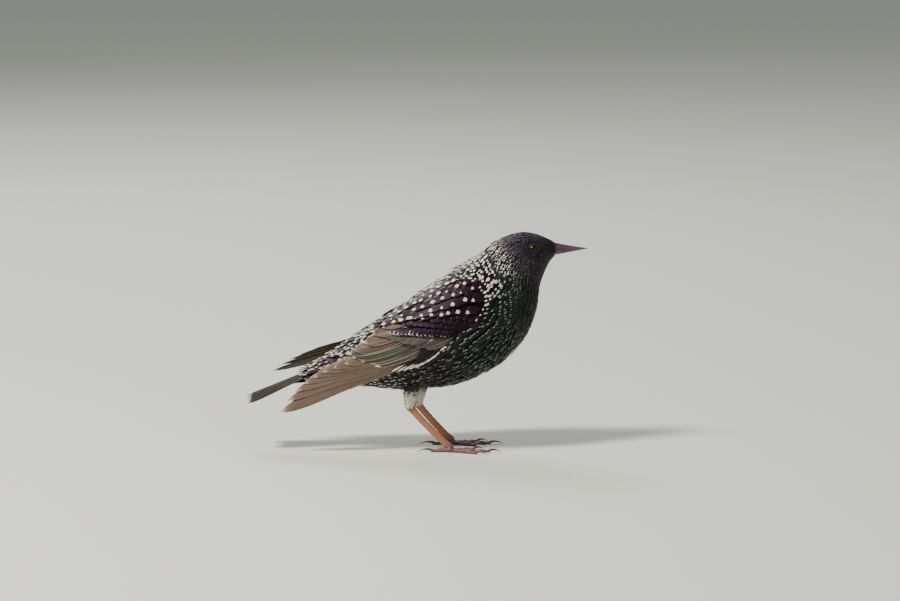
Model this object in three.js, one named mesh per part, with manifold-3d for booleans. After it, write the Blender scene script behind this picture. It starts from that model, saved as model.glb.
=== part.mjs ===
// A standing common starling in winter plumage, life size, as a still museum model.
// Millimetres. x runs forward to the bill, y to the bird's left and z up from the floor.

import * as THREE from "three";
import { mergeVertices } from "three/addons/utils/BufferGeometryUtils.js";
import Module from "manifold-3d";

const wasm = await Module();
wasm.setup();

// Driving dimensions

const GAP = 0.3; // between pieces that meet face to face
const DEGREE = Math.PI / 180;
const SLIVER = 0.02; // detail that a fused solid may lose
const WELD = 0.02; // corners of a fused solid closer than this are one

// Stations of the feathered body from the tail coverts to the base of the bill.
// Each holds the back's point x, z, the belly's point x, z and half the width there.
const BODY = [
  [-68.0, 43.6, -66.0, 38.8, 9.0],
  [-57.0, 49.4, -52.0, 37.4, 11.0],
  [-46.0, 56.0, -38.5, 36.0, 13.4],
  [-34.0, 64.2, -26.0, 35.2, 16.8],
  [-21.0, 72.4, -12.0, 33.8, 20.2],
  [-8.0, 81.0, 4.0, 34.3, 23.0],
  [5.0, 90.6, 19.0, 35.8, 24.6],
  [18.0, 98.4, 34.6, 41.1, 24.8],
  [29.0, 105.2, 49.0, 50.0, 23.0],
  [36.4, 110.0, 60.6, 63.2, 19.8],
  [41.0, 114.2, 66.5, 78.0, 16.6],
  [46.5, 118.0, 68.3, 91.5, 14.2],
  [53.5, 120.7, 71.0, 99.6, 12.4],
  [61.0, 121.5, 73.2, 104.0, 9.8],
  [68.5, 119.8, 75.0, 106.4, 7.0],
  [73.8, 117.4, 76.2, 107.6, 4.9],
];
const EGG = 0.06; // how much wider the body is above its middle than below
const RING_SIDES = 26;
const RINGS_PER_STATION = 2;
const TAIL_CUT = 1.75; // stations at which the body is parted
const NECK_CUT = 9.25;
const HEAD_CUT = 11.25;

const EYE = { x: 64.4, y: 8.6, z: 113.2, radius: 3.3 };
const LID = { radius: 3.0, thickness: 0.55, lift: 2.75 };
// The corner of the mouth: the groove's middle, its size, and its fall and spread rearward.
const GAPE = { x: 73.4, y: 6.1, z: 110.9, length: 6, depth: 1.6, height: 0.45, fall: 17, spread: 24 };

// The bill's heights where it leaves the head, its tip and its widths.
const BILL = {
  top: 115.9,
  mouth: 111.4,
  bottom: 108.6,
  tip: [95.6, 112.6],
  halfWidth: 3.5,
  tipHalfWidth: 0.45,
  rings: 8,
};
const NOSTRIL = { x: 78.4, y: 2.75, z: 113.7, radii: [1.3, 0.5, 0.42] };

// The straight line round which the folded wings wrap the body.
const AXIS = { x: 10, z: 64, slope: 20 * DEGREE };

// Each folded wing hangs from its bend, the carpal joint, at its own slope.
// Behind the body it lies in a plane that starts at freeY from the middle and leans in.
// raised is how far, for its length, it is held above the scapulars that lie on the back.
const WINGS = {
  right: {
    side: -1,
    carpal: [45.1, 73.2],
    slope: 22.9 * DEGREE,
    freeY: [23.5, 15.5],
    lean: 14 * DEGREE,
    raised: 0,
  },
  left: {
    side: 1,
    carpal: [48.9, 71.6],
    slope: 13.4 * DEGREE,
    freeY: [23.5, 14.5],
    lean: 55 * DEGREE,
    raised: 0.14,
  },
};
const WING_LENGTH = 131;
// The leading edge bows down by depth between two lengths along it.
const WING_BOW = { depth: 2.6, start: 18, end: 104 };
const WING_FREE = [60, 100]; // lengths along the wing between which it leaves the body
const TURN_LIMIT = 86 * DEGREE; // of a wing's surface round the axis, short of the other wing
const WING_SEAT = 0.55; // between the body and the underside of the wing

// A feather's vane: its thickness, and the share of its width along its length.
const VANE = { thickness: 0.6, tipShare: 0.6 };
const LONG_VANE = [
  [0, 0.6],
  [0.4, 0.96],
  [0.8, 0.95],
  [0.95, 0.62],
  [1, 0.18],
];
const SHORT_VANE = [
  [0, 0.7],
  [0.5, 1],
  [0.84, 0.86],
  [1, 0.25],
];

// The thin arm of the wing that carries its feathers: length, lower edge and upper edge.
const WING_ARM = [
  [2, 6, 17],
  [10, 3, 25],
  [24, 1.5, 31],
  [42, 1.5, 29],
  [60, 2.5, 21],
];
const ARM_THICKNESS = 1.2;

// Rows of wing feathers, from the leading edge up and from the lowest layer out.
// first and last are the tips' length past the bend and arc above the leading edge,
// back is the vane's length, slant how far its root lies below its tip, and lift its
// heights at root and tip, with step added for each further feather of the row.
const WING_ROWS = [
  {
    name: "secondaries",
    count: 5,
    first: [70.5, 7.5],
    last: [82.5, 15.5],
    back: 36,
    slant: 3,
    width: 5.4,
    lift: [0.9, 2.2],
    step: 0.22,
  },
  {
    name: "tertials",
    count: 3,
    first: [79, 18.5],
    last: [61, 24.5],
    back: 32,
    slant: 2,
    width: 6.4,
    lift: [1.2, 3.3],
    step: 0.25,
  },
  {
    name: "primary coverts",
    count: 3,
    first: [49, 1.9],
    last: [44, 6.1],
    back: 18,
    slant: 0,
    width: 2.6,
    lift: [1.1, 2.1],
    step: 0.2,
  },
  {
    name: "alula",
    count: 1,
    first: [32, 1.9],
    last: [32, 1.9],
    back: 20,
    slant: 0,
    width: 3.4,
    lift: [1.1, 2.2],
    step: 0,
  },
  {
    name: "greater coverts",
    count: 5,
    first: [41, 6.5],
    last: [61, 21],
    back: 18,
    slant: 1.5,
    width: 4.2,
    lift: [1.1, 2.9],
    step: 0.04,
  },
  {
    name: "median coverts",
    count: 4,
    first: [29, 7],
    last: [50, 21.5],
    back: 14,
    slant: 1,
    width: 5.2,
    lift: [1.1, 3.1],
    step: 0.04,
  },
  {
    name: "lesser coverts",
    count: 4,
    first: [20, 7],
    last: [39, 21.5],
    back: 13,
    slant: 0.5,
    width: 5.2,
    lift: [1.1, 2.8],
    step: 0.04,
  },
  {
    name: "marginal coverts",
    count: 3,
    first: [10, 8.5],
    last: [28, 21.5],
    back: 11,
    slant: 0,
    width: 6.4,
    lift: [1, 2.3],
    step: 0.04,
  },
];
// The scapulars, which lie on the back and over the wing's upper edge, in the same terms.
const SCAPULARS = [
  {
    name: "lower",
    count: 4,
    first: [36, 25],
    last: [66, 25.5],
    back: 19,
    slant: 0,
    width: 5.4,
    lift: [1.2, 3.7],
    step: 0,
  },
  {
    name: "middle",
    count: 3,
    first: [27, 29],
    last: [54, 29.5],
    back: 17,
    slant: 0,
    width: 5.9,
    lift: [1, 3.2],
    step: 0,
  },
  {
    name: "upper",
    count: 2,
    first: [23, 32.5],
    last: [41, 33],
    back: 15,
    slant: 0,
    width: 6.2,
    lift: [0.8, 2.5],
    step: 0,
  },
];
// The primaries' tips run from the shortest, at the upper edge, to the wing's point.
const PRIMARIES = {
  count: 8,
  shortest: 87.5,
  root: 46,
  rootArc: [9.5, 2.8],
  tipArc: 13.2,
  width: 6.2,
  lift: [0.7, 0.9],
  step: 0.24,
};
const SHINGLE_TILT = 0.25; // how much lower a wing vane's upper edge lies than its middle

// The tail's middle line in side view, its arch, and its feathers.
const TAIL = { root: [-38, 52.9], slope: 23 * DEGREE, length: 62.4, arch: 0.004 };
const TAIL_PAIRS = {
  count: 6,
  root: 12.5,
  rootY: [0.9, 5],
  tipY: [1.7, 10],
  notch: 1.4,
  width: 6.6,
};
const TAIL_LIFT = { root: 0.4, inner: 1.1, step: 0.31, tilt: 0.2 };
// Coverts over and under the tail: tips' and roots' lengths, spread, and heights there.
const TAIL_COVERTS = [
  { count: 5, tip: 35, root: 15, spread: 7.2, width: 7, lift: [2.2, 2.6] },
  { count: 4, tip: 28, root: 13.5, spread: 6, width: 7, lift: [3, 3.7] },
  { count: 4, tip: 39, root: 19, spread: 5.6, width: 7, lift: [-6.4, -2] },
  { count: 3, tip: 32, root: 17, spread: 4.4, width: 7, lift: [-8.4, -4.6] },
];

const LEGS = {
  right: { side: -1, heel: [-4, 10.5, 25.2], foot: [17.6, 12.5, 3.4] },
  left: { side: 1, heel: [0.6, 10.5, 23.2], foot: [18.4, 12.5, 3.4] },
};
const THIGH = { top: [1.5, 41], topRadii: [7.6, 5.4], heelRadii: [2.6, 2.5] };
const TARSUS = { radii: [1.75, 1.25], scutes: 8, step: 0.16, sides: 8 };
const TOES = [
  { name: "inner", angle: 24, length: 15, claw: 6 },
  { name: "middle", angle: -3, length: 22, claw: 7 },
  { name: "outer", angle: -26, length: 16.5, claw: 6 },
  { name: "hallux", angle: 178, length: 11, claw: 8 },
];
const TOE = { halfWidth: 1.25, height: 2.3, tipScale: 0.72 };

// Curves and numbers

const clamp = (value, low, high) => Math.min(Math.max(value, low), high);
const mix = (from, to, t) => from + (to - from) * t;

function smoothstep(low, high, value) {
  const t = clamp((value - low) / (high - low), 0, 1);
  return t * t * (3 - 2 * t);
}

// The row of a table at a fractional index, on a Catmull-Rom curve through its rows.
function rowAt(table, index) {
  const last = table.length - 1;
  const i = clamp(Math.floor(index), 0, last - 1);
  const t = index - i;
  const p1 = table[i];
  const p2 = table[i + 1];
  const p0 = i > 0 ? table[i - 1] : p1.map((v, k) => 2 * v - p2[k]);
  const p3 = i + 2 <= last ? table[i + 2] : p2.map((v, k) => 2 * v - p1[k]);
  return p1.map((v, k) => {
    const a = p2[k] - p0[k];
    const b = 2 * p0[k] - 5 * v + 4 * p2[k] - p3[k];
    const c = 3 * v - p0[k] - 3 * p2[k] + p3[k];
    return v + 0.5 * t * (a + t * (b + t * c));
  });
}

// A table's columns at a value of its first column, with straight lines between the rows.
function columnsAt(table, value) {
  let i = 0;
  while (i < table.length - 2 && table[i + 1][0] < value) i += 1;
  const t = clamp((value - table[i][0]) / (table[i + 1][0] - table[i][0]), 0, 1);
  return table[i].slice(1).map((v, k) => mix(v, table[i + 1][k + 1], t));
}

// Solids

// A solid from its corners and triangles, turned so that its faces point out.
function solidFrom(points, triangles) {
  const build = (faces) =>
    new wasm.Manifold(
      new wasm.Mesh({
        numProp: 3,
        vertProperties: new Float32Array(points.flatMap((p) => [p.x, p.y, p.z])),
        triVerts: new Uint32Array(faces.flat()),
      }),
    );
  const solid = build(triangles);
  return solid.volume() > 0 ? solid : build(triangles.map(([a, b, c]) => [a, c, b]));
}

// A solid from a closed three.js geometry.
function solidFromGeometry(geometry, weld = 1e-4) {
  const bare = geometry.clone();
  bare.deleteAttribute("normal");
  bare.deleteAttribute("uv");
  const merged = mergeVertices(bare, weld);
  const position = merged.attributes.position;
  const points = Array.from({ length: position.count }, (_, i) =>
    new THREE.Vector3().fromBufferAttribute(position, i),
  );
  const triangles = [];
  for (let i = 0; i < merged.index.count; i += 3) {
    triangles.push([0, 1, 2].map((k) => merged.index.getX(i + k)));
  }
  return solidFrom(points, triangles);
}

// A closed skin over rings of equally many points, with a flat fan on each end.
function loft(rings) {
  const sides = rings[0].length;
  const points = rings.flat();
  const triangles = [];
  for (let i = 0; i < rings.length - 1; i += 1) {
    for (let j = 0; j < sides; j += 1) {
      const a = i * sides + j;
      const b = i * sides + ((j + 1) % sides);
      triangles.push([a, b, b + sides], [a, b + sides, a + sides]);
    }
  }
  const ends = [rings[0], rings[rings.length - 1]];
  ends.forEach((ring, end) => {
    const middle = ring.reduce((sum, p) => sum.add(p), new THREE.Vector3()).divideScalar(sides);
    const centre = points.push(middle) - 1;
    const first = end === 0 ? 0 : (rings.length - 1) * sides;
    for (let j = 0; j < sides; j += 1) {
      const pair = [first + j, first + ((j + 1) % sides)];
      triangles.push(end === 0 ? [centre, pair[1], pair[0]] : [centre, pair[0], pair[1]]);
    }
  });
  return solidFrom(points, triangles);
}

// A thin slab between a grid of outer points and a grid of inner points.
// Both faces are split along the same diagonals.
function slab(outer, inner) {
  const rows = outer.length;
  const columns = outer[0].length;
  const points = [...outer.flat(), ...inner.flat()];
  const at = (i, j) => i * columns + j;
  const under = rows * columns;
  const triangles = [];
  for (let i = 0; i < rows - 1; i += 1) {
    for (let j = 0; j < columns - 1; j += 1) {
      const [a, b, c, d] = [at(i, j), at(i, j + 1), at(i + 1, j + 1), at(i + 1, j)];
      triangles.push([a, b, c], [a, c, d]);
      triangles.push([under + a, under + c, under + b], [under + a, under + d, under + c]);
    }
  }
  const rim = [];
  for (let j = 0; j < columns - 1; j += 1) rim.push(at(0, j));
  for (let i = 0; i < rows - 1; i += 1) rim.push(at(i, columns - 1));
  for (let j = columns - 1; j > 0; j -= 1) rim.push(at(rows - 1, j));
  for (let i = rows - 1; i > 0; i -= 1) rim.push(at(i, 0));
  rim.forEach((a, n) => {
    const b = rim[(n + 1) % rim.length];
    triangles.push([a, under + a, under + b], [a, under + b, b]);
  });
  return solidFrom(points, triangles);
}

// One feather's vane. place turns a layout point, length and across, and a height into space.
// The vane runs from root to tip, rises from lift[0] to lift[1] and is tilted from edge to edge.
function vane(place, { root, tip, width, lift, tilt = 0, rows = SHORT_VANE }) {
  const run = [tip[0] - root[0], tip[1] - root[1]];
  const reach = Math.hypot(run[0], run[1]);
  const across = [-run[1] / reach, run[0] / reach];
  const face = (under) =>
    rows.map(([t, share]) => {
      const half = (share * width) / 2;
      const thickness = VANE.thickness * mix(1, VANE.tipShare, smoothstep(0.7, 1, t));
      return [-1, 1].map((c) =>
        place(
          root[0] + t * run[0] + c * half * across[0],
          root[1] + t * run[1] + c * half * across[1],
          mix(lift[0], lift[1], t) + tilt * c - under * thickness,
        ),
      );
    });
  return slab(face(0), face(1));
}

function geometryOf(solid) {
  const mesh = solid.getMesh();
  const geometry = new THREE.BufferGeometry();
  geometry.setAttribute("position", new THREE.BufferAttribute(mesh.vertProperties, 3));
  geometry.setIndex(new THREE.BufferAttribute(mesh.triVerts, 1));
  return geometry;
}

// The largest closed surface of a solid, with slivers and hairline slits closed up.
function largest(solid) {
  const welded = solidFromGeometry(geometryOf(solid.simplify(SLIVER)), WELD);
  const pieces = welded.decompose();
  pieces.sort((a, b) => b.volume() - a.volume());
  return pieces[0];
}

function fuse(solids) {
  return wasm.Manifold.union(solids);
}

// Body

// A point of the body's skin. The angle runs from the back over the left side to the belly.
function bodyPoint(station, angle, grow = 0) {
  const [backX, backZ, bellyX, bellyZ, half] = rowAt(BODY, station);
  const depth = Math.hypot(backX - bellyX, backZ - bellyZ) / 2;
  const scale = (depth + grow) / (2 * depth);
  const c = Math.cos(angle);
  return new THREE.Vector3(
    (backX + bellyX) / 2 + (backX - bellyX) * scale * c,
    (half + grow) * Math.sin(angle) * (1 + EGG * c),
    (backZ + bellyZ) / 2 + (backZ - bellyZ) * scale * c,
  );
}

function bodySolid(grow = 0) {
  const count = (BODY.length - 1) * RINGS_PER_STATION;
  const rings = Array.from({ length: count + 1 }, (_, i) =>
    Array.from({ length: RING_SIDES }, (_, j) =>
      bodyPoint(i / RINGS_PER_STATION, (2 * Math.PI * j) / RING_SIDES, grow),
    ),
  );
  return loft(rings);
}

// A thin block that lies across the body in the plane of one station.
function cutAcross(station) {
  const back = bodyPoint(station, 0);
  const belly = bodyPoint(station, Math.PI);
  const block = new THREE.BoxGeometry(GAP, 120, 160);
  block.rotateY(Math.atan2(back.x - belly.x, back.z - belly.z));
  block.translate((back.x + belly.x) / 2, 0, (back.z + belly.z) / 2);
  return solidFromGeometry(block);
}

// The body parted by thin cuts into tail base, torso, neck and head, from the rear forward.
function bodyPieces() {
  const cuts = [TAIL_CUT, NECK_CUT, HEAD_CUT].map(cutAcross);
  const pieces = cuts.reduce((solid, cut) => solid.subtract(cut), bodySolid()).decompose();
  const middle = (solid) => {
    const box = solid.boundingBox();
    return box.min[0] + box.max[0];
  };
  return pieces.sort((a, b) => middle(a) - middle(b));
}

// Head, eyes and bill

function ball(radius, x, y, z) {
  const sphere = new THREE.SphereGeometry(radius, 14, 8);
  sphere.rotateX(Math.PI / 2);
  sphere.translate(x, y, z);
  return solidFromGeometry(sphere);
}

// A lid ring round one eye, a little longer than high.
function lid(side) {
  const ring = new THREE.TorusGeometry(LID.radius, LID.thickness, 5, 12);
  ring.scale(1.08, 0.94, 1);
  ring.rotateX(Math.PI / 2);
  ring.rotateZ(-side * 14 * DEGREE);
  ring.translate(EYE.x, side * (EYE.y + LID.lift), EYE.z);
  return solidFromGeometry(ring);
}

// The groove that carries the line of the mouth on from the bill across the cheek.
function gape(side) {
  const groove = new THREE.BoxGeometry(GAPE.length, GAPE.depth, GAPE.height);
  groove.rotateY(-GAPE.fall * DEGREE);
  groove.rotateZ(-side * GAPE.spread * DEGREE);
  groove.translate(GAPE.x, side * GAPE.y, GAPE.z);
  return solidFromGeometry(groove);
}

function headSolid(blank) {
  const lidded = fuse([blank, lid(-1), lid(1)]);
  const cuts = [-1, 1].flatMap((side) => [
    ball(EYE.radius + GAP, EYE.x, side * EYE.y, EYE.z),
    gape(side),
  ]);
  return largest(cuts.reduce((solid, cut) => solid.subtract(cut), lidded));
}

// A point of the bill's base at a height, just clear of the head's front face.
function billBase(z) {
  const [backX, backZ, bellyX, bellyZ] = BODY[BODY.length - 1];
  const x = mix(backX, bellyX, (backZ - z) / (backZ - bellyZ));
  return [x + GAP * 1.1, z];
}

// One half of the bill from its base to its tip.
// Each ring is flat along the mouth line and round over the ridge or under the keel.
function billHalf(edge, mouth, reach) {
  const rings = [];
  for (let i = 0; i <= BILL.rings; i += 1) {
    const t = (i / BILL.rings) * reach;
    const taper = 1 - t ** 1.15;
    const half = mix(BILL.tipHalfWidth, BILL.halfWidth, taper);
    const [ex, ez] = [mix(edge[0], BILL.tip[0], t), mix(edge[1], BILL.tip[1], t)];
    const [mx, mz] = [mix(mouth[0], BILL.tip[0], t), mix(mouth[1], BILL.tip[1], t)];
    const bulge = 0.35 * Math.sin(Math.PI * t) * Math.sign(edge[1] - mouth[1]);
    const ring = [];
    for (let j = 0; j <= 8; j += 1) {
      const angle = (Math.PI * j) / 8;
      const rise = Math.sin(angle);
      ring.push(
        new THREE.Vector3(mix(mx, ex, rise), half * Math.cos(angle), mix(mz, ez + bulge, rise)),
      );
    }
    rings.push(ring);
  }
  return loft(rings);
}

function nostril(side) {
  const slot = new THREE.SphereGeometry(1, 8, 4);
  slot.scale(...NOSTRIL.radii);
  slot.rotateY(8 * DEGREE);
  slot.translate(NOSTRIL.x, side * NOSTRIL.y, NOSTRIL.z);
  return solidFromGeometry(slot);
}

function billSolids() {
  const whole = billHalf(billBase(BILL.top), billBase(BILL.mouth + GAP / 2), 1);
  const upper = largest(whole.subtract(nostril(-1)).subtract(nostril(1)));
  const lower = billHalf(billBase(BILL.bottom), billBase(BILL.mouth - GAP / 2), 0.93);
  return { upper, lower };
}

// Folded wings

const AXIS_REAR = [-Math.cos(AXIS.slope), -Math.sin(AXIS.slope)];
const AXIS_UP = [-Math.sin(AXIS.slope), Math.cos(AXIS.slope)];

// A point in side view as a distance rearward along the axis and a height above it.
function toAxis(x, z) {
  const [dx, dz] = [x - AXIS.x, z - AXIS.z];
  return [dx * AXIS_REAR[0] + dz * AXIS_REAR[1], dx * AXIS_UP[0] + dz * AXIS_UP[1]];
}

// The body's radius about the axis, found by Newton's method on station and angle.
function bodyRadius(rear, turn) {
  let station = 6 - rear / 14;
  let angle = Math.PI / 2 - turn;
  const measure = (s, a) => {
    const p = bodyPoint(s, a);
    const [r, h] = toAxis(p.x, p.z);
    return { rear: r, turn: Math.atan2(h, p.y), radius: Math.hypot(h, p.y) };
  };
  const nudge = 1e-4;
  for (let i = 0; i < 8; i += 1) {
    const here = measure(station, angle);
    const [ds, da] = [measure(station + nudge, angle), measure(station, angle + nudge)];
    const [e, f] = [here.rear - rear, here.turn - turn];
    const [a, b] = [(ds.rear - here.rear) / nudge, (da.rear - here.rear) / nudge];
    const [c, d] = [(ds.turn - here.turn) / nudge, (da.turn - here.turn) / nudge];
    const det = a * d - b * c;
    station = clamp(station - (e * d - b * f) / det, 0.3, 10.5);
    angle = clamp(angle - (a * f - c * e) / det, 0, Math.PI);
  }
  return measure(station, angle).radius;
}

// A point of the folded wing's base surface, from its length past the bend and its arc above
// the leading edge. It wraps the body first and lies in a leaning plane behind it.
function wingBase(wing, length, arc) {
  const along = clamp((length - WING_BOW.start) / (WING_BOW.end - WING_BOW.start), 0, 1);
  const bow = -WING_BOW.depth * Math.sin(Math.PI * along) ** 2;
  const edgeX = wing.carpal[0] - length * Math.cos(wing.slope);
  const edgeZ = wing.carpal[1] - length * Math.sin(wing.slope) + bow;
  const [rear, height] = toAxis(edgeX, edgeZ);
  const free = smoothstep(WING_FREE[0], WING_FREE[1], length);
  const point = new THREE.Vector3();
  if (free < 1) {
    let turn = 0;
    for (let i = 0; i < 4; i += 1) {
      turn = Math.asin(clamp(height / bodyRadius(rear, turn), -0.95, 0.95));
    }
    turn = Math.min(turn + arc / bodyRadius(rear, turn), TURN_LIMIT);
    const radius = bodyRadius(rear, turn) + WING_SEAT;
    const up = radius * Math.sin(turn);
    point.set(
      AXIS.x + rear * AXIS_REAR[0] + up * AXIS_UP[0],
      radius * Math.cos(turn),
      AXIS.z + rear * AXIS_REAR[1] + up * AXIS_UP[1],
    );
  }
  if (free > 0) {
    const out = mix(wing.freeY[0], wing.freeY[1], (length - WING_FREE[0]) / (WING_LENGTH - WING_FREE[0]));
    const up = arc * Math.cos(wing.lean);
    const plane = new THREE.Vector3(
      edgeX + up * AXIS_UP[0],
      out - arc * Math.sin(wing.lean),
      edgeZ + up * AXIS_UP[1],
    );
    point.lerp(plane, free);
  }
  return point;
}

// A point at a height above the wing's base surface, along the surface's own normal.
function wingPoint(wing, length, arc, height) {
  const nudge = 0.05;
  const p = wingBase(wing, length, arc);
  const alongLength = wingBase(wing, length + nudge, arc).sub(p);
  const alongArc = wingBase(wing, length, arc + nudge).sub(p);
  const normal = alongLength.cross(alongArc).normalize();
  if (normal.y < 0) normal.negate();
  p.addScaledVector(normal, height);
  p.y *= wing.side;
  return p;
}

// The arm under the wing's feathers, as a thin slab on the base surface.
function wingArm(place) {
  const rows = 8;
  const columns = 4;
  const [start, end] = [WING_ARM[0][0], WING_ARM[WING_ARM.length - 1][0]];
  const grid = (height) =>
    Array.from({ length: rows + 1 }, (_, i) => {
      const length = mix(start, end, i / rows);
      const [low, high] = columnsAt(WING_ARM, length);
      return Array.from({ length: columns + 1 }, (_, j) =>
        place(length, mix(low, high, j / columns), height),
      );
    });
  return slab(grid(ARM_THICKNESS), grid(0));
}

function primaries(place) {
  const { count, shortest, root, rootArc, tipArc, width, lift, step } = PRIMARIES;
  return Array.from({ length: count }, (_, i) => {
    const rank = i / (count - 2);
    const tipLength = i === count - 1 ? WING_LENGTH - 2.6 : mix(shortest, WING_LENGTH, rank ** 0.93);
    const tip = [tipLength, tipArc * (1 - 0.92 * Math.min(rank, 1.02) ** 3)];
    return vane(place, {
      root: [root, mix(rootArc[0], rootArc[1], i / (count - 1))],
      tip,
      width,
      lift: [lift[0], lift[1] + step * (count - 1 - i)],
      tilt: -SHINGLE_TILT,
      rows: LONG_VANE,
    });
  });
}

function wingRow(place, { count, first, last, back, slant, width, lift, step }) {
  return Array.from({ length: count }, (_, i) => {
    const t = count > 1 ? i / (count - 1) : 0;
    const tip = [mix(first[0], last[0], t), mix(first[1], last[1], t)];
    return vane(place, {
      root: [tip[0] - back, tip[1] - slant],
      tip,
      width,
      lift: [lift[0], lift[1] + step * i],
      tilt: -SHINGLE_TILT,
    });
  });
}

// One folded wing, its feathers fused at their roots, clear of the body.
function wingSolid(wing, body) {
  const place = (length, arc, height) => wingPoint(wing, length, arc, height);
  const onBack = (length, arc, height) => place(length, arc - wing.raised * length, height);
  const rows = WING_ROWS.flatMap((row) => wingRow(place, row));
  const scapulars = SCAPULARS.flatMap((row) => wingRow(onBack, row));
  const feathered = fuse([wingArm(place), ...primaries(place), ...rows, ...scapulars]);
  return largest(feathered.subtract(body));
}

// Tail

// A point of the tail from its length past the root, its distance from the middle and its height.
function tailPoint(length, y, height) {
  const up = height - TAIL.arch * y * y;
  return new THREE.Vector3(
    TAIL.root[0] - length * Math.cos(TAIL.slope) - up * Math.sin(TAIL.slope),
    y,
    TAIL.root[1] - length * Math.sin(TAIL.slope) + up * Math.cos(TAIL.slope),
  );
}

function tailFeathers() {
  const { count, root, rootY, tipY, notch, width } = TAIL_PAIRS;
  const feathers = [];
  for (let i = 0; i < count; i += 1) {
    const t = i / (count - 1);
    for (const side of [-1, 1]) {
      feathers.push(
        vane(tailPoint, {
          root: [root, side * mix(rootY[0], rootY[1], t)],
          tip: [TAIL.length - notch * (1 - t), side * mix(tipY[0], tipY[1], t)],
          width,
          lift: [TAIL_LIFT.root, TAIL_LIFT.inner - TAIL_LIFT.step * i],
          tilt: side * TAIL_LIFT.tilt,
          rows: LONG_VANE,
        }),
      );
    }
  }
  return feathers;
}

function tailCoverts() {
  return TAIL_COVERTS.flatMap(({ count, tip, root, spread, width, lift }) =>
    Array.from({ length: count }, (_, i) => {
      const y = mix(-spread, spread, i / (count - 1));
      const shorter = 4 * (y / spread) ** 2;
      return vane(tailPoint, { root: [root, 0.75 * y], tip: [tip - shorter, y], width, lift });
    }),
  );
}

function tailSolid(base) {
  return largest(fuse([base, ...tailFeathers(), ...tailCoverts()]));
}

// Legs and feet

// An upright ellipse at a point, with its fore-and-aft and its sideways radius.
function legRing(point, alongRadius, acrossRadius, sides = 12) {
  return Array.from({ length: sides }, (_, j) => {
    const angle = (2 * Math.PI * j) / sides;
    return new THREE.Vector3(
      point.x + alongRadius * Math.cos(angle),
      point.y + acrossRadius * Math.sin(angle),
      point.z,
    );
  });
}

// The feathered thigh from the belly to the heel.
function thighSolid(leg, body) {
  const heel = new THREE.Vector3(leg.heel[0], leg.side * leg.heel[1], leg.heel[2] + GAP);
  const top = new THREE.Vector3(leg.heel[0] + THIGH.top[0], leg.side * leg.heel[1], THIGH.top[1]);
  const rings = [0, 0.15, 0.35, 0.6, 1].map((t) => {
    const flare = t ** 1.4;
    return legRing(
      heel.clone().lerp(top, t),
      mix(THIGH.heelRadii[0], THIGH.topRadii[0], flare),
      mix(THIGH.heelRadii[1], THIGH.topRadii[1], flare),
    );
  });
  return largest(loft(rings).subtract(body));
}

// The bare shank from the heel to the foot, with raised bands down its front.
function tarsusSolid(leg) {
  const heel = new THREE.Vector3(leg.heel[0], leg.side * leg.heel[1], leg.heel[2]);
  const foot = new THREE.Vector3(leg.foot[0], leg.side * leg.foot[1], leg.foot[2] + GAP);
  const rings = [];
  for (let i = 0; i < TARSUS.scutes; i += 1) {
    for (const [part, step] of [[0.02, 1], [0.98, 0]]) {
      const t = (i + part) / TARSUS.scutes;
      const swell = 1 + 0.42 * (1 - smoothstep(0, 0.16, t)) + 0.3 * smoothstep(0.86, 1, t);
      rings.push(
        legRing(
          heel.clone().lerp(foot, t),
          TARSUS.radii[0] * swell + TARSUS.step * step,
          TARSUS.radii[1] * swell + TARSUS.step * step,
          TARSUS.sides,
        ),
      );
    }
  }
  return loft(rings);
}

// A toe's section across its line: flat below, round above.
function toeRing(origin, direction, distance, half, height) {
  const across = new THREE.Vector3(-direction.y, direction.x, 0);
  const shape = [
    [-0.7, 0],
    [0.7, 0],
    [1, 0.4],
    [0.72, 0.82],
    [0, 1],
    [-0.72, 0.82],
    [-1, 0.4],
  ];
  return shape.map(([side, up]) =>
    origin
      .clone()
      .addScaledVector(direction, distance)
      .addScaledVector(across, side * half)
      .setZ(up * height),
  );
}

function toeSolid(origin, direction, length) {
  const rings = [];
  const steps = 6;
  for (let i = 0; i <= steps; i += 1) {
    const t = i / steps;
    const pad = 1 + 0.1 * Math.cos(Math.PI * i);
    const scale = mix(1, TOE.tipScale, t) * pad;
    rings.push(toeRing(origin, direction, t * length, TOE.halfWidth * scale, TOE.height * scale));
  }
  return loft(rings);
}

// A claw that curves forward and down from the end of its toe.
function clawSolid(origin, direction, start, length) {
  const rings = [];
  const steps = 4;
  for (let i = 0; i <= steps; i += 1) {
    const t = i / steps;
    const size = mix(0.85, 0.14, t ** 0.8);
    const lift = mix(1.15, 0.3, t * t) + 0.55 * Math.sin(Math.PI * t);
    const middle = origin.clone().addScaledVector(direction, start + t * length).setZ(lift);
    const across = new THREE.Vector3(-direction.y, direction.x, 0);
    rings.push(
      Array.from({ length: 5 }, (_, j) => {
        const angle = (2 * Math.PI * (j + 0.25)) / 5;
        const point = middle.clone().addScaledVector(across, 0.7 * size * Math.cos(angle));
        point.z = Math.max(point.z + size * Math.sin(angle), 0.1);
        return point;
      }),
    );
  }
  return loft(rings);
}

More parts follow.
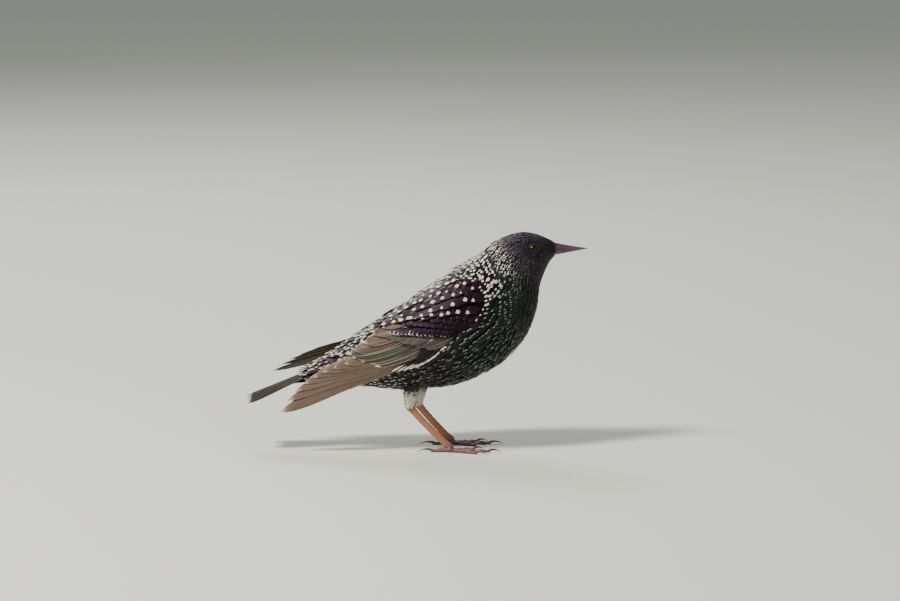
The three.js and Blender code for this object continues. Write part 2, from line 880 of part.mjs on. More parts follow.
// One foot: four toes and the ball that joins them, with the claws as solids of their own.
function footSolids(leg) {
  const origin = new THREE.Vector3(leg.foot[0] + 1.2, leg.side * leg.foot[1], 0);
  const heel = new THREE.Vector3(leg.heel[0], leg.side * leg.heel[1], leg.heel[2]);
  const joint = new THREE.Vector3(leg.foot[0], leg.side * leg.foot[1], leg.foot[2]);
  const instep = loft([
    legRing(joint, TARSUS.radii[0] * 1.25, TARSUS.radii[1] * 1.25, 10),
    legRing(joint.clone().lerp(heel, -0.09), 2.4, 2.1, 10),
  ]);
  const pad = ball(2.3, origin.x - 0.3, origin.y, 1.2).trimByPlane([0, 0, 1], 0);
  const claws = {};
  const toes = TOES.map((toe) => {
    const angle = toe.angle * DEGREE * -leg.side;
    const direction = new THREE.Vector3(Math.cos(angle), Math.sin(angle), 0);
    claws[toe.name] = clawSolid(origin, direction, toe.length + GAP, toe.claw);
    return toeSolid(origin, direction, toe.length);
  });
  return { foot: largest(fuse([pad, instep, ...toes])), claws };
}

// Finishes and assembly

const paint = (color, roughness, metalness = 0) =>
  new THREE.MeshStandardMaterial({ color, roughness, metalness });
const FINISH = {
  plumage: paint(0x1d1a20, 0.55),
  wing: paint(0x4a3d38, 0.5),
  tail: paint(0x453a36, 0.5),
  thigh: paint(0x8c8374, 0.7),
  bill: paint(0x3a2a2c, 0.4),
  skin: paint(0x9a5138, 0.5),
  claw: paint(0x2a1d1a, 0.35),
  eye: paint(0x0a0605, 0.08),
};

const bird = new THREE.Group();

function addPiece(name, solid, material) {
  const piece = new THREE.Mesh(geometryOf(solid), material);
  piece.name = name;
  bird.add(piece);
}

const [tailBase, torso, neck, headBlank] = bodyPieces();
addPiece("torso", torso, FINISH.plumage);
addPiece("neck", neck, FINISH.plumage);
addPiece("head", headSolid(headBlank), FINISH.plumage);
addPiece("tail", tailSolid(tailBase), FINISH.tail);

const bill = billSolids();
addPiece("bill_upper", bill.upper, FINISH.bill);
addPiece("bill_lower", bill.lower, FINISH.bill);

const bodyWithGap = bodySolid(GAP);
for (const side of ["right", "left"]) {
  const leg = LEGS[side];
  addPiece(`eye_${side}`, ball(EYE.radius, EYE.x, leg.side * EYE.y, EYE.z), FINISH.eye);
  addPiece(`wing_${side}`, wingSolid(WINGS[side], bodyWithGap), FINISH.wing);
  addPiece(`thigh_${side}`, thighSolid(leg, bodyWithGap), FINISH.thigh);
  addPiece(`tarsus_${side}`, tarsusSolid(leg), FINISH.skin);
  const { foot, claws } = footSolids(leg);
  addPiece(`foot_${side}`, foot, FINISH.skin);
  for (const [toe, claw] of Object.entries(claws)) {
    addPiece(`claw_${toe}_${side}`, claw, FINISH.claw);
  }
}

// The origin is on the floor below the middle of the whole bird.
const box = new THREE.Box3().setFromObject(bird);
bird.position.set(-(box.min.x + box.max.x) / 2, -(box.min.y + box.max.y) / 2, -box.min.z);

export default bird;
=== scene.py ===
"""A standing common starling in winter plumage, dressed feather by feather.

Lengths in the classes are millimetres in the bird's own frame: x runs forward to the bill, y to the
bird's left and z up from the floor. BirdFrame turns them into the model's metres.
"""

import logging
import math
from dataclasses import dataclass, field
from enum import Enum
from functools import cached_property

import bpy
import numpy as np
from bpy.types import Material, Node, NodeSocket, Object
from mathutils import Matrix
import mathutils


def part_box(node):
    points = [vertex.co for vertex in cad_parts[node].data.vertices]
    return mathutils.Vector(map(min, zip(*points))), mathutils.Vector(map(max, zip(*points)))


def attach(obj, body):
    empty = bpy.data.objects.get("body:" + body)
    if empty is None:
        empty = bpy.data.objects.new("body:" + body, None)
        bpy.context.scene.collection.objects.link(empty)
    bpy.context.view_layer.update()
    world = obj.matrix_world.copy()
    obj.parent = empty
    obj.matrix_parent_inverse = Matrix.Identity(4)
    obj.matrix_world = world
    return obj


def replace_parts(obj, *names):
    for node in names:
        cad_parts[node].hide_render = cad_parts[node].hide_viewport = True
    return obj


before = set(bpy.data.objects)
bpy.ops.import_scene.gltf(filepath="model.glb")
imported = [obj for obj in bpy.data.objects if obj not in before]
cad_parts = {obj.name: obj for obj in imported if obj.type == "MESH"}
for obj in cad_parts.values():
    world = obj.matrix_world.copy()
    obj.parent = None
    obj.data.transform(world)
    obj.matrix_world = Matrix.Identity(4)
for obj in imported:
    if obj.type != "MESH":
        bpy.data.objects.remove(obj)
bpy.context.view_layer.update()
LOG = logging.getLogger("starling")

Array = np.ndarray
Colour = tuple[float, float, float]
Vector = tuple[float, float, float]
Pair = tuple[float, float]


# Numbers and curves


def smoothstep(low: float, high: float, value: Array) -> Array:
    """Blends from 0 to 1 between two values.

    Args:
        low: The value where the blend is 0.
        high: The value where the blend is 1.
        value: Where to read the blend.

    Returns:
        t * t * (3 - 2 t), with t the place between low and high.
    """
    t = np.clip((np.asarray(value, float) - low) / (high - low), 0, 1)
    return t * t * (3 - 2 * t)


def mix(start: Array, end: Array, share: Array) -> Array:
    """Returns the straight blend start + (end - start) * share."""
    return start + (end - start) * share


def unit(vectors: Array) -> Array:
    """Returns the vectors divided by their own lengths."""
    return vectors / np.maximum(np.linalg.norm(vectors, axis=-1, keepdims=True), 1e-9)


def along_axes(origin: Array, axes: Array, *amounts: Array) -> Array:
    """Returns origin + amount * axis, summed over the axes, at every point of a grid."""
    spread = np.broadcast_arrays(*amounts)
    return sum((amount[..., None] * axis for amount, axis in zip(spread, axes)), origin)


def down_slope(start: Pair, slope: float, run: Array, y: Array, up: Array) -> Array:
    """Lays points on a plane that falls toward the rear.

    Args:
        start: Where the plane begins, x and z.
        slope: Its fall in radians.
        run: Millimetres rearward along it.
        y: Millimetres to the left.
        up: Millimetres above it.

    Returns:
        Points x, y, z on a last axis.
    """
    c, s = math.cos(slope), math.sin(slope)
    return columns(start[0] - run * c - up * s, y, start[1] - run * s + up * c)


def blend_colour(start: Array, end: Array, share: Array) -> Array:
    """Returns a colour for each share, from start at 0 to end at 1."""
    return mix(np.asarray(start, float), np.asarray(end, float), np.asarray(share)[..., None])


def rgba(colour: Array, fourth: Array, count: int) -> Array:
    """Joins colours and a fourth number, each given once for all or once for every row.

    Args:
        colour: Red, green and blue.
        fourth: The gloss, or the share that is pale.
        count: How many rows to give.

    Returns:
        Four columns.
    """
    last = np.broadcast_to(np.reshape(fourth, (-1, 1)), (count, 1))
    return np.concatenate([np.broadcast_to(colour, (count, 3)), last], 1)


def columns(*parts: Array) -> Array:
    """Returns the parts, spread to a common shape, as columns on a last axis."""
    return np.stack(np.broadcast_arrays(*parts), -1)


def circle(count: int) -> Array:
    """Returns angles that run evenly round a circle."""
    return np.linspace(0, 2 * np.pi, count, endpoint=False)


def bell(value: Array, middle: float, width: float) -> Array:
    """Returns the bell curve exp(-((value - middle) / width) ** 2)."""
    return np.exp(-(((value - middle) / width) ** 2))


# Meshes


@dataclass(frozen=True)
class BirdFrame:
    """Where the bird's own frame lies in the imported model.

    The tip of the upper bill and the middle between the eyes tie the two together.
    """

    bill_tip: float = 95.6
    millimetre: float = 0.001

    def shift(self) -> Array:
        """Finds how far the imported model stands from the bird's own frame.

        Returns:
            The shift in metres.
        """
        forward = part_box("bill_upper")[1].x - self.bill_tip * self.millimetre
        right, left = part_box("eye_right"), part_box("eye_left")
        sideways = (right[0].y + right[1].y + left[0].y + left[1].y) / 4
        return np.array([forward, sideways, 0.0])

    def place(self, points: Array) -> Array:
        """Returns points given in millimetres as metres in the model."""
        return np.asarray(points, float) * self.millimetre + self.shift()


@dataclass
class MeshData:
    """Vertices, faces and what is painted on them, before they become an object."""

    points: Array
    faces: list[Array]
    flat: list[bool] = field(default_factory=list)
    maps: dict[str, list[Array]] = field(default_factory=dict)
    colours: dict[str, Array] = field(default_factory=dict)

    def volume(self) -> float:
        """Adds up the volumes between the origin and a fan over each face.

        Returns:
            Six times the volume, below 0 where the faces point inwards.
        """
        total = 0.0
        for face in self.faces:
            corners = self.points[face]
            for k in range(1, face.shape[1] - 1):
                cross = np.cross(corners[:, k], corners[:, k + 1])
                total += float((corners[:, 0] * cross).sum())
        return total

    def outward(self) -> "MeshData":
        """Turns every face round where they point inwards.

        Returns:
            The same data, with its faces pointing out.
        """
        if self.volume() < 0:
            self.faces = [face[:, ::-1] for face in self.faces]
            self.maps = {
                name: [part[:, ::-1] for part in parts] for name, parts in self.maps.items()
            }
        return self

    def painted(self, colour: Array) -> "MeshData":
        """Paints a tube for a horn finish.

        Args:
            colour: Red, green and blue at each ring's points.

        Returns:
            The same data, whose two end points take the first and the last colour.
        """
        plain = colour.reshape(-1, 3)
        plain = np.concatenate([plain, plain[[0, -1]]])
        self.colours = {"Ground": rgba(plain, 1.0, len(plain))}
        return self

    def to_object(self, name: str, material: Material, slot: str) -> Object:
        """Makes the object at the origin, with its place in its mesh.

        Args:
            name: The object's name.
            material: Its finish.
            slot: The record's material slot; not used.

        Returns:
            The linked object, riding on the one body.
        """
        self.outward()
        mesh = bpy.data.meshes.new(name)
        points = BirdFrame().place(self.points)
        mesh.vertices.add(len(points))
        mesh.vertices.foreach_set("co", points.astype(np.float32).ravel())
        corners = np.concatenate([face.ravel() for face in self.faces])
        sizes = np.concatenate([np.full(len(face), face.shape[1]) for face in self.faces])
        mesh.loops.add(len(corners))
        mesh.loops.foreach_set("vertex_index", corners.astype(np.int32))
        mesh.polygons.add(len(sizes))
        starts = np.concatenate([[0], np.cumsum(sizes)[:-1]])
        mesh.polygons.foreach_set("loop_start", starts.astype(np.int32))
        flat = self.flat or [False] * len(self.faces)
        smooth = np.concatenate([np.full(len(f), not s) for f, s in zip(self.faces, flat)])
        mesh.polygons.foreach_set("use_smooth", smooth)
        for map_name, parts in self.maps.items():
            layer = mesh.uv_layers.new(name=map_name, do_init=False)
            flat_map = np.concatenate([part.reshape(-1, 2) for part in parts])
            layer.data.foreach_set("uv", flat_map.astype(np.float32).ravel())
        for colour_name, values in self.colours.items():
            layer = mesh.attributes.new(colour_name, "FLOAT_COLOR", "POINT")
            layer.data.foreach_set("color", values.astype(np.float32).ravel())
        mesh.update(calc_edges=True)
        mesh.validate()
        mesh.materials.append(material)
        piece = bpy.data.objects.new(name, mesh)
        bpy.context.scene.collection.objects.link(piece)
        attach(piece, "root")
        LOG.info("%s: %d faces", name, len(mesh.polygons))
        return piece


def join(parts: list[MeshData]) -> MeshData:
    """Joins several meshes of the same makeup into one.

    Args:
        parts: The meshes, with the same maps and colours.

    Returns:
        One mesh with the corners and faces of all.
    """
    parts = [part.outward() for part in parts]
    offsets = np.cumsum([0] + [len(part.points) for part in parts[:-1]])
    faces = [face + at for part, at in zip(parts, offsets) for face in part.faces]
    flat = [s for part in parts for s in (part.flat or [False] * len(part.faces))]
    maps = {name: [m for part in parts for m in part.maps[name]] for name in parts[0].maps}
    colours = {
        name: np.concatenate([part.colours[name] for part in parts]) for name in parts[0].colours
    }
    return MeshData(np.concatenate([p.points for p in parts]), faces, flat, maps, colours)


def tube(rings: Array) -> MeshData:
    """A skin over rings of points, each end closed by a fan to the ring's middle.

    Args:
        rings: Points of shape (rings, sides, 3), each ring closed on itself.

    Returns:
        The mesh, with quads between the rings.
    """
    count, sides = rings.shape[:2]
    index = np.arange(count * sides).reshape(count, sides)
    turned = np.roll(index, -1, axis=1)
    quads = np.stack([index[:-1], index[1:], turned[1:], turned[:-1]], -1).reshape(-1, 4)
    middles = np.stack([rings[0].mean(0), rings[-1].mean(0)])
    start = columns(index[0], turned[0], count * sides)
    end = columns(turned[-1], index[-1], count * sides + 1)
    return MeshData(np.concatenate([rings.reshape(-1, 3), middles]), [quads, start, end])


# Shader expressions


class Value:
    """A number that varies over a surface. Arithmetic on it adds Math nodes."""

    def __init__(self, finish: "Finish", socket: NodeSocket) -> None:
        """Keeps the material under construction and the output that holds the value."""
        self.finish = finish
        self.socket = socket

    def _math(self, operation: str, *others: "Value | float") -> "Value":
        """Adds a Math node.

        Args:
            operation: The node's operation.
            others: The second and third inputs.

        Returns:
            The node's output.
        """
        node = self.finish.add("Math", {"operation": operation})
        for socket, value in zip(node.inputs, (self, *others)):
            self.finish.put(socket, value)
        return Value(self.finish, node.outputs[0])

    def __add__(self, other: "Value | float") -> "Value":
        """Returns self + other."""
        return self._math("ADD", other)

    __radd__ = __add__

    def __mul__(self, other: "Value | float") -> "Value":
        """Returns self * other."""
        return self._math("MULTIPLY", other)

    __rmul__ = __mul__

    def __sub__(self, other: "Value | float") -> "Value":
        """Returns self - other."""
        return self._math("SUBTRACT", other)

    def __rsub__(self, other: float) -> "Value":
        """Returns other - self."""
        return self * -1.0 + other

    def __pow__(self, other: float) -> "Value":
        """Returns self to the power of other."""
        return self._math("POWER", other)

    def __abs__(self) -> "Value":
        """Returns the absolute value."""
        return self._math("ABSOLUTE")

    def sine(self) -> "Value":
        """Returns the sine, in radians."""
        return self._math("SINE")

    def highest(self, other: "Value | float") -> "Value":
        """Returns the higher of the two."""
        return self._math("MAXIMUM", other)

    def lowest(self, other: "Value | float") -> "Value":
        """Returns the lower of the two."""
        return self._math("MINIMUM", other)

    def step(self, low: float, high: float) -> "Value":
        """Adds a smooth step.

        Args:
            low: Where it is 0.
            high: Where it is 1.

        Returns:
            The step's output.
        """
        settings = {"interpolation_type": "SMOOTHSTEP"}
        node = self.finish.add("MapRange", settings, Value=self, From_Min=low, From_Max=high)
        return Value(self.finish, node.outputs["Result"])


class Finish:
    """One material under construction, with its Principled shader."""

    def __init__(self, name: str) -> None:
        """Makes a material with nothing but a Principled shader in it.

        Args:
            name: The material's name.
        """
        self.material = bpy.data.materials.new(name)
        self.material.use_nodes = True
        self.tree = self.material.node_tree
        self.shader = self.tree.nodes["Principled BSDF"]

    def add(self, kind: str, settings: dict | None = None, **inputs: object) -> Node:
        """Adds any node.

        Args:
            kind: The node's type, without its ShaderNode prefix.
            settings: Properties that are set first.
            inputs: Values or links by socket name, with spaces written as underscores.

        Returns:
            The node.
        """
        node = self.tree.nodes.new("ShaderNode" + kind)
        for name, value in (settings or {}).items():
            setattr(node, name, value)
        for name, value in inputs.items():
            self.put(node.inputs[name.replace("_", " ")], value)
        return node

    def put(self, socket: NodeSocket, value: object) -> None:
        """Links a socket or sets its number.

        Args:
            socket: The socket.
            value: A value or an output to link, or a plain number or colour.
        """
        if isinstance(value, (Value, NodeSocket)):
            self.tree.links.new(value.socket if isinstance(value, Value) else value, socket)
        else:
            socket.default_value = value

    def set(self, **inputs: object) -> None:
        """Sets the shader's own sockets, with spaces written as underscores."""
        for name, value in inputs.items():
            self.put(self.shader.inputs[name.replace("_", " ")], value)

    def colours(
        self,
        share: "Value | float",
        first: "NodeSocket | Colour",
        second: "NodeSocket | Colour",
    ) -> NodeSocket:
        """Mixes two colours.

        Args:
            share: How much of the second shows.
            first: The colour at share 0.
            second: The colour at share 1.

        Returns:
            The mixed colour's socket.
        """
        node = self.add("Mix", {"data_type": "RGBA"})
        self.put(node.inputs[0], share)
        for socket, colour in ((node.inputs[6], first), (node.inputs[7], second)):
            self.put(socket, (*colour, 1.0) if isinstance(colour, tuple) else colour)
        return node.outputs[2]

    def parts(self, vector: NodeSocket) -> tuple[Value, ...]:
        """Returns the three numbers of a vector."""
        return tuple(Value(self, out) for out in self.add("SeparateXYZ", Vector=vector).outputs)

    def map_axes(self, name: str) -> tuple[Value, ...]:
        """Returns the two axes of one of the piece's own maps."""
        return self.parts(self.add("UVMap", {"uv_map": name}).outputs["UV"])[:2]

    def painted(self, name: str) -> tuple[NodeSocket, Value]:
        """Returns the colour and the alpha that are painted on the piece's points."""
        node = self.add("Attribute", {"attribute_name": name})
        return node.outputs["Color"], Value(self, node.outputs["Alpha"])

    def painted_numbers(self, name: str) -> tuple[Value, ...]:
        """Returns three numbers that are painted on the piece's points."""
        return self.parts(self.add("Attribute", {"attribute_name": name}).outputs["Vector"])

    def noise(self, scale: float, detail: float = 2.0, stretch: Vector = (1, 1, 1)) -> Value:
        """Adds noise over the object's own coordinates.

        Args:
            scale: Waves a metre.
            detail: Octaves.
            stretch: How much each axis is scaled first.

        Returns:
            The noise, about 0.5 on average.
        """
        place = self.add("TexCoord").outputs["Object"]
        mapped = self.add("Mapping", Vector=place, Scale=stretch)
        node = self.add("TexNoise", Vector=mapped.outputs[0], Scale=scale, Detail=detail)
        return Value(self, node.outputs[0])

    def bump(self, height: Value, distance: float, strength: float = 1.0) -> None:
        """Raises the surface by a height that feeds the shader's normal.

        Args:
            height: The height, about 0 to 1.
            distance: The metres that a height of 1 stands for.
            strength: How much of it shows.
        """
        node = self.add("Bump", Height=height, Distance=distance, Strength=strength)
        self.set(Normal=node.outputs[0])


@dataclass(frozen=True)
class VaneFinish:
    """Feathers that read their colours, spots and barbs from what is painted on them."""

    name: str = "plumage"
    roughness: float = 0.45
    metallic: float = 1.0
    specular: float = 0.15
    barb_slant: float = 5.0
    barb_relief: float = 0.00006
    shaft_half: float = 0.10
    shaft_colour: Colour = (0.010, 0.008, 0.008)
    shadow: Colour = (0.004, 0.004, 0.005)
    ragged_scale: float = 900.0
    tip_ragged: float = 0.05
    edge_ragged: float = 0.1
    edge_pale: float = 0.85
    mottle_scale: float = 260.0
    mottle_dark: float = 0.3
    barb_dark: float = 0.22
    shaft_dark: float = 0.45

    def build(self) -> Material:
        """Makes the material.

        The pale tip is where along > 1 - spot * (1 - taper |across| ** 1.4), with the spot's
        length painted as the tip's alpha. Beyond 1 - fringe across, the edge is pale too. Barbs
        are a fine sine wave that slants to the edges. Taper, fringe and barbs are painted.

        Returns:
            The material.
        """
        finish = Finish(self.name)
        across, along = finish.map_axes("Vane")
        side = abs(across * 2.0 - 1.0)
        ground, gloss = finish.painted("Ground")
        tip, spot = finish.painted("Tip")
        taper, fringe, barbs = finish.painted_numbers("Form")
        ragged = finish.noise(self.ragged_scale) - 0.5
        start = 1.0 - spot * (1.0 - (side**1.4) * taper)
        share = (along + ragged * self.tip_ragged - start).step(-0.02, 0.03) * spot.step(0, 0.03)
        edge = (side + ragged * self.edge_ragged + fringe - 1.0).step(0, 0.12)
        share = share.highest(edge * fringe.step(0, 0.02) * self.edge_pale)
        shaft = 1.0 - side.step(0.0, self.shaft_half)
        wave = ((along * barbs - side * self.barb_slant) * (2 * math.pi)).sine() * 0.5 + 0.5
        mottle = finish.noise(self.mottle_scale, 3.0)
        streak = (wave * self.barb_dark + mottle * self.mottle_dark - 0.08) * (1.0 - share)
        dark = finish.colours(shaft * self.shaft_dark, ground, self.shaft_colour)
        streaky = finish.colours(streak, dark, self.shadow)
        finish.set(
            Base_Color=finish.colours(share * (0.92 - shaft * 0.35), streaky, tip),
            Metallic=(gloss * self.metallic).lowest(1.0) * (1.0 - share),
            Roughness=wave * 0.10 + share * 0.15 + (self.roughness - 0.08),
            Specular_IOR_Level=self.specular,
        )
        finish.bump(wave * 0.5 + shaft * 0.9, self.barb_relief, 0.6)
        return finish.material


@dataclass(frozen=True)
class HornFinish:
    """Horn and bare skin, darker or lighter by the painted colour."""

    name: str
    roughness: float = 0.4
    grain: float = 1500.0
    cloud: float = 350.0
    stretch: Vector = (0.25, 1.0, 1.0)
    depth: float = 0.00003
    coat: float = 0.0
    wear: float = 0.6
    dark: Colour = (0.02, 0.012, 0.012)
    worn: Colour = (0.5, 0.4, 0.34)

    def build(self) -> Material:
        """Makes the material from the painted ground colour, a fine grain and a little wear.

        Returns:
            The material.
        """
        finish = Finish(self.name)
        ground, _ = finish.painted("Ground")
        grain = finish.noise(self.grain, 4.0, self.stretch)
        cloud = finish.noise(self.cloud, 3.0)
        shaded = finish.colours(grain * 0.5 + cloud * 0.4 - 0.15, ground, self.dark)
        finish.set(
            Base_Color=finish.colours((cloud - 0.5) * self.wear, shaded, self.worn),
            Roughness=grain * 0.2 + (self.roughness - 0.1),
            Specular_IOR_Level=0.5,
        )
        if self.coat:
            finish.set(Coat_Weight=self.coat, Coat_Roughness=0.15)
        finish.bump(grain * 0.6 + cloud * 0.4, self.depth)
        return finish.material


@dataclass(frozen=True)
class EyeFinish:
    """A dark brown eye under a clear wet coat."""

    name: str = "eye"
    pupil: Colour = (0.001, 0.001, 0.001)
    iris: Colour = (0.007, 0.003, 0.002)
    rays: Colour = (0.016, 0.007, 0.005)
    pupil_edge: Pair = (0.34, 0.40)
    ray_scale: float = 2500.0

    def build(self) -> Material:
        """Makes the material: a brown iris round a black pupil, read from the eye's own map.

        Returns:
            The material.
        """
        finish = Finish(self.name)
        _, along = finish.map_axes("Vane")
        rays = finish.noise(self.ray_scale) * 0.5
        iris = finish.colours(rays, self.iris, self.rays)
        finish.set(
            Base_Color=finish.colours(along.step(*self.pupil_edge), self.pupil, iris),
            Roughness=rays * 0.1 + 0.08,
            Specular_IOR_Level=0.2,
            Coat_Weight=0.15,
            Coat_Roughness=0.02,
        )
        return finish.material


@dataclass(frozen=True)
class FloorFinish:
    """A plain pale studio floor."""

    name: str = "studio_floor"
    colour: Colour = (0.62, 0.63, 0.58)
    cloud: Colour = (0.52, 0.53, 0.49)

    def build(self) -> Material:
        """Makes the material.

        Returns:
            The material.
        """
        finish = Finish(self.name)
        base = finish.colours(finish.noise(2.0) * 0.12, self.colour, self.cloud)
        finish.set(Base_Color=base, Roughness=0.85, Specular_IOR_Level=0.2)
        return finish.material


# The body's shape and what is drawn on its plumage


@dataclass(frozen=True)
class BodyShape:
    """The bird's feathered body as a loft over stations from the tail coverts to the bill.

    Each station holds the back's point x, z, the belly's point x, z and half the width.
    """

    stations: tuple[tuple[float, ...], ...] = (
        (-68.0, 43.6, -66.0, 38.8, 9.0),
        (-57.0, 49.4, -52.0, 37.4, 11.0),
        (-46.0, 56.0, -38.5, 36.0, 13.4),
        (-34.0, 64.2, -26.0, 35.2, 16.8),
        (-21.0, 72.4, -12.0, 33.8, 20.2),
        (-8.0, 81.0, 4.0, 34.3, 23.0),
        (5.0, 90.6, 19.0, 35.8, 24.6),
        (18.0, 98.4, 34.6, 41.1, 24.8),
        (29.0, 105.2, 49.0, 50.0, 23.0),
        (36.4, 110.0, 60.6, 63.2, 19.8),
        (41.0, 114.2, 66.5, 78.0, 16.6),
        (46.5, 118.0, 68.3, 91.5, 14.2),
        (53.5, 120.7, 71.0, 99.6, 12.4),
        (61.0, 121.5, 73.2, 104.0, 9.8),
        (68.5, 119.8, 75.0, 106.4, 7.0),
        (73.8, 117.4, 76.2, 107.6, 4.9),
    )
    egg: float = 0.06
    nudge: float = 0.001

    @property
    def last(self) -> int:
        """Returns the index of the station at the bill."""
        return len(self.stations) - 1

    def row(self, station: Array) -> Array:
        """Reads the table on a Catmull-Rom curve through its rows.

        Args:
            station: Fractional indices of any shape.

        Returns:
            The five columns there, on a last axis.
        """
        table = np.array(self.stations)
        padded = np.concatenate([2 * table[:1] - table[1:2], table, 2 * table[-1:] - table[-2:-1]])
        i = np.clip(np.floor(station).astype(int), 0, self.last - 1)
        t = (station - i)[..., None]
        p0, p1, p2, p3 = (padded[i + k] for k in range(4))
        a = p2 - p0
        b = 2 * p0 - 5 * p1 + 4 * p2 - p3
        c = 3 * p1 - p0 - 3 * p2 + p3
        return p1 + 0.5 * t * (a + t * (b + t * c))

    def point(self, station: Array, angle: Array) -> Array:
        """A point of the body's surface.

        The section is an ellipse between the back's and the belly's points, a little wider
        above. The angle runs from the back over the left side to the belly.

        Args:
            station: Fractional station indices.
            angle: Angles in radians.

        Returns:
            Points x, y, z on a last axis.
        """
        station, angle = np.broadcast_arrays(np.asarray(station, float), np.asarray(angle, float))
        back_x, back_z, belly_x, belly_z, half = np.moveaxis(self.row(station), -1, 0)
        c = np.cos(angle)
        return columns(
            (back_x + belly_x) / 2 + (back_x - belly_x) / 2 * c,
            half * np.sin(angle) * (1 + self.egg * c),
            (back_z + belly_z) / 2 + (back_z - belly_z) / 2 * c,
        )

    def slopes(self, station: Array, angle: Array) -> tuple[Array, Array]:
        """The surface's two tangents, from points a nudge to each side.

        Args:
            station: Fractional station indices.
            angle: Angles in radians.

        Returns:
            The steps for a unit of station and for a unit of angle.
        """
        n = self.nudge
        ahead = self.point(station + n, angle) - self.point(station - n, angle)
        around = self.point(station, angle + n) - self.point(station, angle - n)
        return ahead / (2 * n), around / (2 * n)

    def scale(self, station: Array, angle: Array) -> Array:
        """Returns the millimetres in a unit of station and in one of angle, as columns."""
        return columns(*(np.linalg.norm(step, axis=-1) for step in self.slopes(station, angle)))

    def nearest(self, points: Array) -> Array:
        """Finds the place on the surface closest to each point, on ever finer grids of places.

        Args:
            points: Shape (points, 3).

        Returns:
            Station and angle of each, shape (points, 2).
        """
        middle = np.tile([self.last / 2, np.pi], (len(points), 1))
        reach = np.array([self.last / 2, np.pi])
        line = np.linspace(-1, 1, 61)
        steps = columns(line[:, None], line[None, :]).reshape(-1, 2)
        for _ in range(3):
            places = middle[:, None, :] + reach * steps
            places[..., 0] = np.clip(places[..., 0], 0, self.last - 0.01)
            off = self.point(places[..., 0], places[..., 1]) - points[:, None, :]
            best = (off**2).sum(-1).argmin(1)
            middle = places[np.arange(len(points)), best]
            reach = reach / 20
        return middle

    def lifted(self, station: Array, angle: Array, height: Array) -> Array:
        """Returns points at a height above the surface, along its normal."""
        normal = unit(np.cross(*self.slopes(station, angle)))
        return self.point(station, angle) + normal * np.asarray(height)[..., None]

    def spread(self, root: Array, along: Array, across: Array, height: Array) -> Array:
        """Lays a feather's own lengths on the body from its root rearward.

        Args:
            root: Station and angle of each root, shape (feathers, 2).
            along: Millimetres rearward from the root, shape (feathers, rows, columns).
            across: Millimetres round the body.
            height: Millimetres above the surface.

        Returns:
            The points.
        """
        scale = self.scale(root[:, 0], root[:, 1])[:, None, None]
        station = root[:, 0, None, None] - along / scale[..., 0]
        angle = root[:, 1, None, None] + across / scale[..., 1]
        return self.lifted(np.clip(station, -1.2, self.last - 0.01), angle, height)


